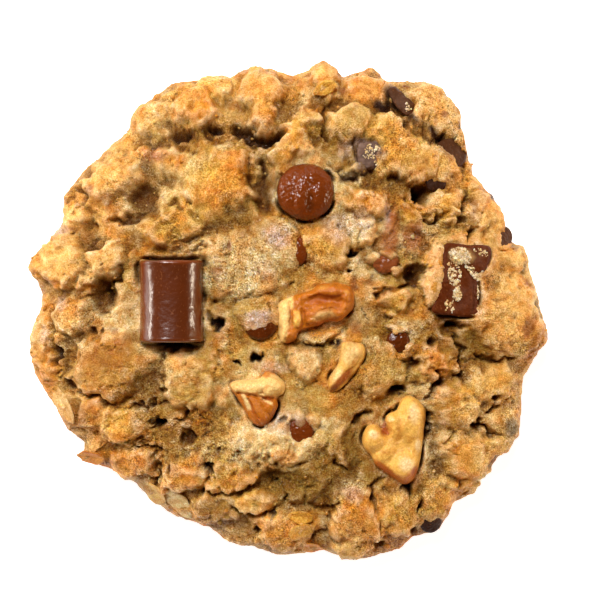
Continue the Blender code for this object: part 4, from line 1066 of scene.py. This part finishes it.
LARGE_NUT = {
    "outline": (
        (24.5, -17.9), (25.8, -18.2), (27.2, -19.3), (28.2, -20.8), (28.3, -22.6), (28.0, -24.6),
        (27.8, -27.4), (27.4, -30.0), (26.8, -33.0), (26.0, -35.0), (24.5, -36.2), (23.0, -35.9),
        (20.0, -33.8), (18.0, -32.2), (17.0, -30.2), (16.0, -29.2), (15.2, -27.6), (15.4, -25.8),
        (16.3, -24.3), (17.8, -23.8), (18.7, -24.4), (19.6, -25.4), (20.4, -26.1), (20.8, -25.2),
        (20.3, -24.0), (20.0, -23.0), (20.3, -22.0), (21.1, -21.4), (22.2, -21.0), (22.8, -19.9),
        (23.4, -18.7),
    ),
    "sides": 160, "cells": 64, "dome": (0.62, 1.7), "lean": (0.0, -0.05), "tint": "kernel",
    "swells": (
        (25.8, -23.0, 3.0, 5.6, -4, 1.4), (17.4, -26.6, 3.0, 3.2, 0, 1.4), (24.0, -32.2, 3.4, 3.6, 0, 1.3),
        (22.0, -24.0, 3.0, 3.0, 0, 0.6), (26.4, -28.6, 1.6, 1.8, 0, 0.5), (20.0, -29.8, 2.6, 1.8, 30, 0.5),
    ),
    "areas": (
        ("seed", 0.9, ((16.6, -30.6), (18.4, -31.2), (20.4, -32.4), (22.0, -34.0), (23.6, -34.5),
                       (25.2, -33.4), (26.9, -31.8), (26.6, -35.6), (24.5, -37.2), (22.0, -36.8),
                       (18.6, -34.0))),
    ),
    # The pale patches are painted highlights on the lobes; the faint seed patches at (22.4, -26.6) and (22.6,
    # -25.0) are painted shade in the soft valley down the middle.
    "patches": (
        (25.2, -21.0, 0.35, 0.3, 0, "skin", 0.9), (24.6, -22.2, 0.5, 0.5, 0, "seed", 0.8),
        (17.2, -25.6, 0.4, 0.2, 0, "seed", 0.7), (25.2, -26.8, 1.1, 0.4, 20, "seed", 0.5),
        (19.6, -29.4, 0.8, 0.4, 0, "seed", 0.5), (22.4, -26.6, 1.0, 3.4, -25, "seed", 0.22),
        (20.4, -33.4, 4.0, 1.1, -38, "skin", 0.9), (26.2, -33.8, 1.0, 2.0, 10, "skin", 0.8),
        (24.0, -35.8, 1.8, 0.7, -10, "skin", 0.9), (19.8, -25.0, 0.9, 1.5, -20, "skin", 1.0),
        (16.6, -29.4, 1.6, 0.5, -45, "seed", 0.5), (22.6, -25.0, 0.9, 4.0, -8, "seed", 0.35),
        (24.2, -32.0, 2.2, 1.9, 0, "pale", 0.9), (26.8, -28.2, 1.1, 1.5, 0, "pale", 0.8),
        (17.6, -25.8, 1.6, 1.2, -20, "pale", 0.8), (25.8, -21.6, 1.6, 3.0, 0, "pale", 0.6),
        (20.9, -22.6, 0.8, 0.8, 0, "pale", 0.5), (20.2, -25.6, 0.7, 0.8, 0, "skin", 0.9),
        (28.0, -25.0, 0.35, 5.0, 0, "skin", 0.7), (21.0, -29.4, 2.4, 0.9, 20, "seed", 0.25),
    ),
}
SLIVER = {
    "outline": (
        (11.0, -7.0), (13.5, -6.9), (15.5, -7.4), (15.9, -9.4), (14.2, -12.6), (11.2, -16.0), (9.6, -17.0),
        (8.2, -16.8), (8.3, -14.2), (10.4, -10.8),
    ),
    "sides": 160, "cells": 64, "dome": (0.55, 2.2), "lean": (0.0, 0.05), "tint": "kernel", "rough": 0.1,
    "lumps": ((12.6, -9.6, 2.0, 4.0, -30, 0.7), (10.0, -14.2, 1.4, 2.6, -30, 0.6)),
    "patches": (
        (12.6, -9.0, 2.8, 3.6, -25, "cream", 0.6), (9.8, -13.4, 1.4, 2.6, -25, "cream", 0.5),
        (11.2, -14.2, 4.2, 1.2, 45, "skin", 0.95), (9.2, -16.2, 1.8, 1.1, 30, "stain", 0.9),
        (12.0, -8.0, 2.0, 1.0, 0, "beige", 0.6), (13.6, -10.6, 0.6, 1.6, -30, "seed", 0.5),
    ),
}
# Walnut pieces: name, node, looks.
NUTS = (
    ("nut_centre", "walnut_centre", CENTRE_NUT), ("nut_small", "walnut_small", SMALL_NUT),
    ("nut_large", "walnut_large", LARGE_NUT), ("nut_sliver", "walnut_sliver", SLIVER),
)
# Small chips: node, x, y, radius, tint, kind of chocolate.
CHIPS = (
    ("chip_middle_left", -5.8, -2.8, 3.6, "chocolate", "chip"),
    ("chip_middle_top", 0.8, 12.2, 3.4, "milk", "chip"),
    ("chip_middle_low", 2.3, -25.2, 2.9, "milk", "chip"),
    ("chip_right_top", 33.6, 32.2, 3.4, "cocoa", "dull"),
    ("chip_right", 30.6, 26.4, 2.2, "dark", "dull"),
    ("chip_right_low", 22.6, -6.6, 2.4, "chocolate", "chip"),
    ("chip_rim_right", 44.6, 15.2, 2.3, "cocoa", "dull"),
    ("chip_rim_low", 29.6, -44.6, 2.3, "dark", "dull"),
)
# Small broken pieces: node, outline, tint, kind of chocolate, material slot.
BITS = (
    ("chunk_bloomed", ((14.6, 34.0), (18.5, 34.5), (20.6, 31.8), (18.0, 29.0), (14.4, 30.2)),
     "slate", "bloomed", "bloomed_chocolate"),
    ("chunk_rim_top", ((20.7, 46.2), (22.6, 46.0), (24.6, 44.2), (26.6, 42.2), (26.2, 40.6), (24.6, 40.2),
                       (22.6, 41.8), (21.0, 44.2)), "cocoa", "dull", "chocolate"),
    ("toffee_piece", ((17.2, 10.8), (22.4, 10.6), (21.6, 8.0), (18.6, 7.6)), "stain", "chip", "toffee"),
)

# Toppings that lie in the dough: node, outline, how far they stand above the dough round them.
BEDS = (
    ("chocolate_roll", ROLL_OUTLINE, 6.2), ("chocolate_chip", LARGE_CHIP["outline"], 3.8),
    ("chocolate_chunk", LARGE_CHUNK["outline"], 2.2), ("walnut_centre", CENTRE_NUT["outline"], 3.2),
    ("walnut_small", SMALL_NUT["outline"], 2.8), ("walnut_large", LARGE_NUT["outline"], 3.8),
    ("walnut_sliver", SLIVER["outline"], 2.3),
)
# Places where a gap opens beside a topping: x, y, half length, half width, turn in degrees, how wide.
GAPS = (
    (-24.3, 10.6, 8.6, 1.2, 0, 1.0), (-31.4, 7.4, 1.2, 3.8, 0, 1.0), (-23.6, -8.0, 5.8, 2.4, 0, 1.2),
    (-17.3, 9.6, 1.4, 1.2, 0, 0.9), (-17.2, 3.0, 1.0, 2.0, 0, 0.5), (8.6, 20.6, 3.4, 1.5, 40, 0.9),
    (-2.2, 20.8, 2.8, 2.4, -50, 0.9), (9.2, 27.8, 2.6, 1.8, 0, 0.9), (3.6, 18.0, 3.0, 1.0, 0, 0.6),
    (34.2, -1.4, 5.6, 1.3, 0, 1.0), (39.6, 3.4, 1.3, 3.8, 0, 0.9), (12.8, -1.0, 1.4, 1.4, 0, 0.7),
    (-2.6, -21.2, 1.8, 3.4, -20, 1.0), (-6.4, -24.6, 2.4, 1.2, 0, 0.8), (-10.9, -19.2, 1.2, 2.6, 30, 0.6),
    (28.8, -24.0, 1.6, 5.4, 0, 1.0), (27.6, -31.0, 1.0, 3.4, 0, 0.7), (21.2, -20.8, 2.8, 1.6, 30, 0.9),
    (25.2, -36.6, 2.2, 1.4, 0, 1.0), (15.0, -25.4, 1.6, 3.4, 0, 0.7), (19.4, -22.6, 0.9, 1.2, 0, 0.6),
    (15.9, -10.6, 1.4, 3.4, 30, 0.7), (8.0, -13.0, 1.2, 3.0, 20, 0.4),
)
# Dough that hides part of a sunk piece: x, y, half length, half width, turn in degrees, node.
COVERS = (
    (-6.0, -0.6, 5.4, 4.0, 0, "chip_middle_left"), (-2.6, 12.6, 5.6, 6.2, 10, "chip_middle_top"),
    (2.4, -22.8, 1.3, 2.4, 0, "chip_middle_low"), (5.2, -23.0, 1.6, 1.8, 0, "chip_middle_low"),
    (-1.2, -26.0, 2.0, 3.0, 0, "chip_middle_low"), (4.0, -28.2, 2.2, 1.4, 0, "chip_middle_low"),
    (31.9, 30.8, 4.6, 3.1, -45, "chip_right_top"), (36.9, 35.1, 4.4, 1.8, -45, "chip_right_top"),
    (31.2, 28.1, 3.4, 1.9, 0, "chip_right"),
    (20.2, -8.4, 1.7, 2.0, 0, "chip_right_low"), (25.0, -8.4, 1.8, 1.6, 0, "chip_right_low"),
    (22.6, -3.9, 2.8, 1.1, 0, "chip_right_low"), (43.0, 15.6, 1.8, 3.4, 0, "chip_rim_right"),
    (45.0, 17.3, 1.8, 1.4, 0, "chip_rim_right"), (45.4, 12.9, 1.6, 1.0, 0, "chip_rim_right"),
    (29.8, -42.8, 3.2, 1.6, 0, "chip_rim_low"), (27.2, -44.0, 1.4, 1.4, 0, "chip_rim_low"),
    (17.4, 10.6, 1.4, 1.2, 0, "toffee_piece"), (21.8, 7.6, 1.6, 1.0, 0, "toffee_piece"),
    (20.6, 11.2, 2.0, 1.0, -20, "toffee_piece"), (14.6, 29.4, 1.6, 1.2, 0, "chunk_bloomed"),
    (30.1, 7.3, 2.0, 7.2, -8, "chocolate_chunk"),
)


def with_curve(looks):
    """The same looks with the smooth curve through the corners of their outline."""
    return dict(looks, curve=closed_curve(looks["outline"], looks["sides"]))


def make_nuts(material):
    for name, node, looks in NUTS:
        make_topping(name, node, with_curve(looks), material)


def make_chocolates(kinds):
    """All chocolate but the roll, and the toffee. Returns the upper points of all but the chips."""
    make_topping("chip_large", "chocolate_chip", with_curve(LARGE_CHIP), kinds["chip"])
    chunk = with_curve(LARGE_CHUNK)
    dusty = [make_topping("chunk_large", "chocolate_chunk", chunk, kinds["dull"])]
    for node, x, y, radius, tint, kind in CHIPS:
        looks = {"curve": circle_curve(x, y, radius), "cells": 24, "dome": (0.75, radius), "tint": tint}
        make_topping(node + "_drop", node, looks, kinds[kind])
    for node, corners, tint, kind, slot in BITS:
        curve = closed_curve(corners, 64)
        looks = {"curve": curve, "cells": 28, "dome": (0.75, 1.6), "tint": tint, "rough": 0.25}
        dusty.append(make_topping(node + "_bit", node, looks, kinds[kind]))
    return np.vstack(dusty)


# ---- oat flakes and crumbs ----

# Oat flakes: x, y, half length, half width, turn in degrees, tilt in degrees, lift, tint.
FLAKES = (
    (-47.0, -20.5, 4.4, 1.5, -66, 18, -0.1, "oat"), (-41.5, -31.0, 2.8, 1.4, -10, 18, 0.0, "orange"),
    (-28.0, -38.5, 3.0, 1.8, -40, 12, -0.2, "beige"), (-23.0, -40.5, 4.2, 1.8, -42, 8, -0.1, "cream"),
    (2.6, -43.2, 2.6, 1.3, -8, 10, 0.1, "golden"), (2.4, -46.3, 2.6, 1.5, 12, 15, 0.0, "golden"),
    (4.6, -49.8, 2.8, 1.1, -10, 24, -0.1, "orange"), (7.5, 46.0, 2.4, 1.6, 30, 15, 0.1, "golden"),
)
FLAKE_THICKNESS = 0.45
CRUMB_COUNT = 700  # on the dough
CRUMB_SIZE = 0.3  # half the width of a middling crumb on the dough
DUST_SIZE = 0.2  # and of one on the chunks


def turned(points, turn, tilt):
    """Turns points about Z and tips them, both in degrees."""
    spin = Matrix.Rotation(math.radians(turn), 3, "Z") @ Matrix.Rotation(math.radians(tilt), 3, "X")
    return points @ np.array(spin).T


def flake_shape(half_length, half_width, seed):
    """A rolled oat: a thin curled disc with a crease along it."""
    cells = 12
    share, angle = disc_grid(cells)
    places = np.stack([np.cos(angle) * 2.0, np.sin(angle) * 2.0, np.full(len(angle), 3.7 * seed)], axis=1)
    reach = share * (1.0 + 0.25 * smooth_noise(places, 1.1, 5))
    x, y = reach * half_length * np.cos(angle), reach * half_width * np.sin(angle)
    crease = np.exp(-((y / 0.35) ** 2)) * np.clip(1.0 - (x / half_length) ** 2, 0.0, 1.0)
    z = 0.18 * (x / half_length) ** 2 + 0.35 * (y / half_width) ** 2 - 0.22 * crease
    z += 0.12 * smooth_noise(np.stack([x, y, np.full(len(x), float(seed))], axis=1), 1.2, 6)
    top = np.stack([x, y, z + FLAKE_THICKNESS * (1.0 - 0.5 * share**4)], axis=1)
    rim = top[grid_edge(cells)]
    lower = rim * [0.97, 0.97, 1.0] - [0.0, 0.0, FLAKE_THICKNESS * 0.8]
    inner = rim * [0.5, 0.5, 1.0] - [0.0, 0.0, FLAKE_THICKNESS]
    return closed_below(top, cells, [lower, inner])


def make_flakes(material, surface, tree):
    """Oat flakes on the dough, joined into one piece."""
    all_points, all_faces, all_colours = [], [], []
    start = 0
    for seed, (x, y, half_length, half_width, turn, tilt, lift, tint) in enumerate(FLAKES):
        points, faces = flake_shape(half_length, half_width, seed)
        height, slope = ground(surface, tree, x, y, half_width)
        points = turned(points, turn, tilt)
        points[:, 2] += slope[0] * points[:, 0] + slope[1] * points[:, 1] + height + lift
        points[:, :2] += (x, y)
        all_points.append(points)
        all_faces += [tuple(corner + start for corner in face) for face in faces]
        streaks = flat_places(points[:, 0] * 0.4 + points[:, 1], points[:, 1])
        pale = 0.7 + 0.3 * smooth_noise(streaks, 0.5, 7)
        all_colours.append(blend_tint(dough_tint(points), tint, pale))
        start += len(points)
    piece = add_piece("oat_flakes", np.vstack(all_points), all_faces, material)
    set_colours(piece, np.vstack(all_colours))


def icosahedron():
    """A ball of 12 corners, 1 in radius, and its 20 triangles facing out."""
    golden = (1.0 + math.sqrt(5.0)) / 2.0
    corners = []
    for a, b in itertools.product((-1.0, 1.0), (-golden, golden)):
        corners += [(a, b, 0), (0, a, b), (b, 0, a)]
    corners = np.array(corners) / math.hypot(1.0, golden)
    reach = 2.0 / math.hypot(1.0, golden) + 0.01
    faces = []
    for i, j, k in itertools.combinations(range(12), 3):
        near = all(np.linalg.norm(corners[a] - corners[b]) < reach for a, b in ((i, j), (j, k), (k, i)))
        if near:
            outward = np.dot(np.cross(corners[j] - corners[i], corners[k] - corners[i]), corners[i]) > 0.0
            faces.append((i, j, k) if outward else (i, k, j))
    return corners, faces


def crumb_places(rng, surface, chunks):
    """Points where crumbs lie: all over the dough, then in heaps on the chunks."""
    places = [surface[rng.choice(len(surface), CRUMB_COUNT, replace=False)]]
    for heap in CHUNK_CRUMBS:
        inside = np.flatnonzero(local_distance(chunks[:, 0], chunks[:, 1], heap) < 1.0)
        places.append(chunks[rng.choice(inside, heap[5])])
    return np.vstack(places)


def make_crumbs(material, surface, chunks):
    """Loose crumbs, each half sunk at a point of the dough's or a chunk's surface."""
    rng = np.random.default_rng(11)
    shape, shape_faces = icosahedron()
    corner_count = len(shape)
    places = crumb_places(rng, surface, chunks)
    points, faces = [], []
    for index, place in enumerate(places):
        middling = CRUMB_SIZE if index < CRUMB_COUNT else DUST_SIZE
        stretch = rng.uniform(0.6, 1.3, 3) * rng.lognormal(math.log(middling), 0.35)
        lumpy = shape * rng.uniform(0.8, 1.2, (corner_count, 1)) * stretch
        points.append(turned(lumpy, rng.uniform(0.0, 360.0), rng.uniform(0.0, 90.0)) + place)
        faces += [tuple(corner + corner_count * index for corner in face) for face in shape_faces]
    points = np.vstack(points)
    piece = add_piece("crumbs", points, faces, material)
    on_chunk = np.repeat(np.arange(len(places)) >= CRUMB_COUNT, corner_count)
    colours = blend_tint(dough_tint(points), "crest", 0.9 * on_chunk)
    shades = np.repeat(rng.uniform(0.75, 1.2, len(places)), corner_count)
    set_colours(piece, colours * shades[:, None])


# ---- materials ----


def feed(tree, socket, value):
    """Links a socket to another one, or sets its value."""
    if isinstance(value, bpy.types.NodeSocket):
        tree.links.new(value, socket)
    else:
        socket.default_value = value


def feed_inputs(tree, node, **inputs):
    """Links or sets a node's inputs, named with _ for a space."""
    for name, value in inputs.items():
        feed(tree, node.inputs[name.replace("_", " ")], value)


def add_node(tree, kind, **inputs):
    node = tree.nodes.new(kind)
    feed_inputs(tree, node, **inputs)
    return node


def attribute(tree, name, output="Fac"):
    """What the mesh stores at each point under this name."""
    node = tree.nodes.new("ShaderNodeAttribute")
    node.attribute_name = name
    return node.outputs[output]


def new_material(name, roughness):
    """Returns a material, its node tree and shader, the place on the piece, and the piece's tint."""
    material = bpy.data.materials.new(name)
    material.use_nodes = True
    tree = material.node_tree
    shader = tree.nodes["Principled BSDF"]
    feed_inputs(tree, shader, Roughness=roughness)
    place = tree.nodes.new("ShaderNodeTexCoord").outputs["Object"]
    return material, tree, shader, place, attribute(tree, "tint", "Color")


def noise(tree, place, size, detail=3.0):
    """Noise whose features are about size millimetres wide, from 0 to 1."""
    node = add_node(tree, "ShaderNodeTexNoise", Vector=place, Scale=1.0 / (size * MM), Detail=detail)
    return node.outputs["Fac"]


def in_range(tree, value, low, high, to_low, to_high):
    """The value moved from one range to another and kept inside it."""
    limits = {"From_Min": low, "From_Max": high, "To_Min": to_low, "To_Max": to_high}
    return add_node(tree, "ShaderNodeMapRange", Value=value, **limits).outputs["Result"]


def mixed_colour(tree, kind, factor, first, second):
    node = tree.nodes.new("ShaderNodeMix")
    node.data_type = "RGBA"
    node.blend_type = kind
    for index, value in ((0, factor), (6, first), (7, second)):  # a colour mix takes its colours at 6 and 7
        feed(tree, node.inputs[index], value)
    return node.outputs[2]


def toned(tree, colour, layers):
    """Multiplies the colour by the tone of each layer where the layer's noise is strong.

    A layer is (noise, where it begins, where it is full, strength, what else weakens it, tone).
    """
    for value, begins, full, strength, weakened, tone in layers:
        share = in_range(tree, value, begins, full, 0.0, strength)
        if weakened:
            share = value_mix(tree, "MULTIPLY", share, weakened)
        colour = mixed_colour(tree, "MULTIPLY", share, colour, tone)
    return colour


def add_bumps(tree, shader, bumps):
    """Chains bumps of so many millimetres onto the shader."""
    normal = None
    for height, depth in bumps:
        bump = add_node(tree, "ShaderNodeBump", Height=height, Distance=depth * MM)
        if normal:
            tree.links.new(normal, bump.inputs["Normal"])
        normal = bump.outputs["Normal"]
    tree.links.new(normal, shader.inputs["Normal"])


def value_mix(tree, operation, first, second):
    node = tree.nodes.new("ShaderNodeMath")
    node.operation = operation
    for socket, value in zip(node.inputs, (first, second)):
        feed(tree, socket, value)
    return node.outputs[0]


def add_scatter(tree, shader, weight, reach):
    """Light that scatters below the surface, as far as reach for red, green and blue."""
    feed_inputs(tree, shader, Subsurface_Weight=weight, Subsurface_Radius=reach, Subsurface_Scale=1.0)


def dough_material():
    """Baked crumb: toasted and pale grains, broader tones, pores darkened with painted shade, and gloss on
    sugar and glaze.
    """
    material, tree, shader, place, tint = new_material("dough", 0.6)
    grain = noise(tree, place, 0.3)
    coarse = noise(tree, place, 1.8, 2.0)
    uneven = attribute(tree, "rough")
    loud = in_range(tree, uneven, 0.0, 1.0, 0.5, 1.0)
    colour = toned(tree, tint, (
        (grain, 0.48, 0.36, 1.0, loud, (0.58, 0.42, 0.2, 1.0)),
        (coarse, 0.5, 0.34, 0.7, None, (0.82, 0.6, 0.34, 1.0)),
        (grain, 0.54, 0.65, 1.0, loud, (1.55, 1.9, 2.9, 1.0)),
        (coarse, 0.5, 0.68, 0.9, None, (1.12, 1.25, 1.6, 1.0)),
    ))
    # Pores painted dark as their shade, stronger where the crumb is rough.
    pores = in_range(tree, noise(tree, place, 0.55, 2.0), 0.6, 0.66, 0.0, 1.0)
    pores = value_mix(tree, "MULTIPLY", pores, in_range(tree, uneven, 0.35, 0.8, 0.15, 1.0))
    pore_shade = value_mix(tree, "MULTIPLY", pores, 0.65)
    colour = mixed_colour(tree, "MIX", pore_shade, colour, (0.19, 0.058, 0.008, 1.0))
    sparkle = in_range(tree, noise(tree, place, 0.3, 0.0), 0.56, 0.66, 0.0, 1.0)
    gloss = value_mix(tree, "MAXIMUM", attribute(tree, "glaze"), sparkle)
    roughness = in_range(tree, gloss, 0.0, 1.0, 0.5, 0.2)
    specular = in_range(tree, gloss, 0.0, 1.0, 0.12, 0.9)
    feed_inputs(tree, shader, Base_Color=colour, Roughness=roughness, Specular_IOR_Level=specular)
    add_scatter(tree, shader, 0.22, (0.0008, 0.0004, 0.00015))
    plates = in_range(tree, noise(tree, place, 1.6, 4.0), 0.47, 0.53, 0.0, 1.0)
    grains = value_mix(tree, "MULTIPLY", grain, loud)
    sunk = value_mix(tree, "MULTIPLY", pores, -1.0)
    add_bumps(tree, shader, ((plates, 0.07), (grains, 0.5), (sunk, 0.25)))
    return material


# Kinds of chocolate: roughness, specular level, how much bloom, depth of the wrinkles.
CHOCOLATES = {
    "roll": (0.24, 0.85, 0.0, 0.03), "chip": (0.13, 0.35, 0.0, 0.3), "dull": (0.5, 0.08, 0.1, 0.3),
    "bloomed": (0.7, 0.1, 0.6, 0.4),
}


def chocolate_material(name, roughness, specular, bloom, wrinkles):
    """Chocolate with pale bloom, and red-brown marks that are longer along Y."""
    material, tree, shader, place, tint = new_material(name, roughness)
    fine = noise(tree, place, 0.75, 1.5)
    broad = noise(tree, place, 3.0)
    dusty = in_range(tree, broad, 0.45, 0.75, 0.0, bloom)
    colour = mixed_colour(tree, "MIX", dusty, tint, (0.42, 0.27, 0.2, 1.0))
    drawn = add_node(tree, "ShaderNodeMapping", Vector=place, Scale=(1.0, 0.6, 1.0)).outputs["Vector"]
    marks = in_range(tree, noise(tree, drawn, 0.4), 0.6, 0.72, 0.0, 0.35)
    colour = mixed_colour(tree, "MIX", marks, colour, (0.34, 0.11, 0.035, 1.0))
    feed_inputs(tree, shader, Base_Color=colour, Specular_IOR_Level=specular)
    add_bumps(tree, shader, ((broad, 0.15), (fine, wrinkles)))
    return material


def walnut_material():
    """Waxy walnut with brown and pale grain."""
    material, tree, shader, place, tint = new_material("walnut", 0.28)
    fine = noise(tree, place, 0.5, 4.0)
    grain = noise(tree, place, 0.3)
    colour = toned(tree, tint, (
        (noise(tree, place, 1.6), 0.54, 0.66, 0.35, None, (0.78, 0.58, 0.34, 1.0)),
        (fine, 0.44, 0.64, 0.6, None, (0.82, 0.64, 0.42, 1.0)),
        (grain, 0.48, 0.62, 0.9, None, (1.15, 1.28, 1.5, 1.0)),
    ))
    feed_inputs(tree, shader, Base_Color=colour, Specular_IOR_Level=0.36)
    add_scatter(tree, shader, 0.08, (0.0012, 0.0006, 0.0003))
    add_bumps(tree, shader, ((fine, 0.22), (grain, 0.1)))
    return material


# ---- stage ----

FLOOR_HALF = 1.5  # metres
FLOOR_GLOW = 0.9
SKY_COLOUR = (1.0, 0.62, 0.28, 1.0)
SKY_LOW, SKY_HIGH = 0.75, 0.06  # its strength near the horizon and overhead
# Lights: name, azimuth, elevation, width and height in metres, watts, colour.
LIGHTS = (
    ("key", 112.0, 56.0, (0.8, 0.8), 47.0, (1.0, 1.0, 1.0)),
    ("left", 172.0, 12.0, (1.0, 0.2), 16.0, (1.0, 0.93, 0.84)),
    ("right", -8.0, 11.0, (0.6, 0.16), 12.0, (1.0, 0.85, 0.66)),
)
LIGHT_DISTANCE = 2.0  # metres
SENSOR_WIDTH, LENS = 36.0, 200.0


def add_area_light(name, azimuth, elevation, size, power, colour):
    """A soft light that faces the cookie. Azimuth is anticlockwise from +X."""
    data = bpy.data.lights.new(name, "AREA")
    data.shape = "RECTANGLE"
    data.size, data.size_y = size
    data.energy = power
    data.color = colour
    lamp = bpy.data.objects.new(name, data)
    turn, rise = math.radians(azimuth), math.radians(elevation)
    away = Vector((math.cos(turn) * math.cos(rise), math.sin(turn) * math.cos(rise), math.sin(rise)))
    lamp.location = away * LIGHT_DISTANCE
    lamp.rotation_euler = away.to_track_quat("Z", "Y").to_euler()
    bpy.context.scene.collection.objects.link(lamp)


def make_floor():
    """A white floor that glows a little, so that it reads as plain white ground."""
    low, high = -FLOOR_HALF, FLOOR_HALF
    mesh = bpy.data.meshes.new("floor")
    mesh.from_pydata([(low, low, 0), (high, low, 0), (high, high, 0), (low, high, 0)], [], [(0, 1, 2, 3)])
    floor = bpy.data.objects.new("floor", mesh)
    bpy.context.scene.collection.objects.link(floor)
    material = bpy.data.materials.new("floor")
    material.use_nodes = True
    tree = material.node_tree
    feed_inputs(
        tree, tree.nodes["Principled BSDF"], Base_Color=(0.92, 0.92, 0.92, 1.0), Roughness=0.9,
        Emission_Color=(1.0, 1.0, 1.0, 1.0), Emission_Strength=FLOOR_GLOW,
    )
    mesh.materials.append(material)


def make_sky():
    """Warm light from all round, strongest near the horizon."""
    world = bpy.data.worlds.new("studio")
    world.use_nodes = True
    tree = world.node_tree
    direction = tree.nodes.new("ShaderNodeTexCoord").outputs["Generated"]
    upward = add_node(tree, "ShaderNodeSeparateXYZ", Vector=direction).outputs["Z"]
    glow = in_range(tree, upward, 0.05, 0.5, SKY_LOW, SKY_HIGH)
    feed_inputs(tree, tree.nodes["Background"], Color=SKY_COLOUR, Strength=glow)
    bpy.context.scene.world = world


def make_camera():
    """Looks straight down, framed as the photograph is."""
    data = bpy.data.cameras.new("camera")
    data.sensor_width = SENSOR_WIDTH
    data.lens = LENS
    camera = bpy.data.objects.new("camera", data)
    middle_x = (FRAME_PIXELS / 2.0 - ORIGIN_PIXEL[0]) * MM_PER_PIXEL
    middle_y = (ORIGIN_PIXEL[1] - FRAME_PIXELS / 2.0) * MM_PER_PIXEL
    distance = FRAME_PIXELS * MM_PER_PIXEL * LENS / SENSOR_WIDTH
    camera.location = (middle_x * MM, middle_y * MM, (distance + RIM_HEIGHT) * MM)
    data.clip_end = 10.0
    bpy.context.scene.collection.objects.link(camera)
    bpy.context.scene.camera = camera
    bpy.context.scene.view_settings.view_transform = "Standard"


def main():
    dough = dough_material()
    surface = make_dough(dough)
    chocolate = {kind: chocolate_material(kind + "_chocolate", *looks) for kind, looks in CHOCOLATES.items()}
    make_roll(chocolate["roll"])
    chunks = make_chocolates(chocolate)
    make_nuts(walnut_material())
    make_flakes(dough, surface, plan_tree(surface))
    make_crumbs(dough, surface, chunks)
    make_floor()
    make_sky()
    for light in LIGHTS:
        add_area_light(*light)
    make_camera()


main()
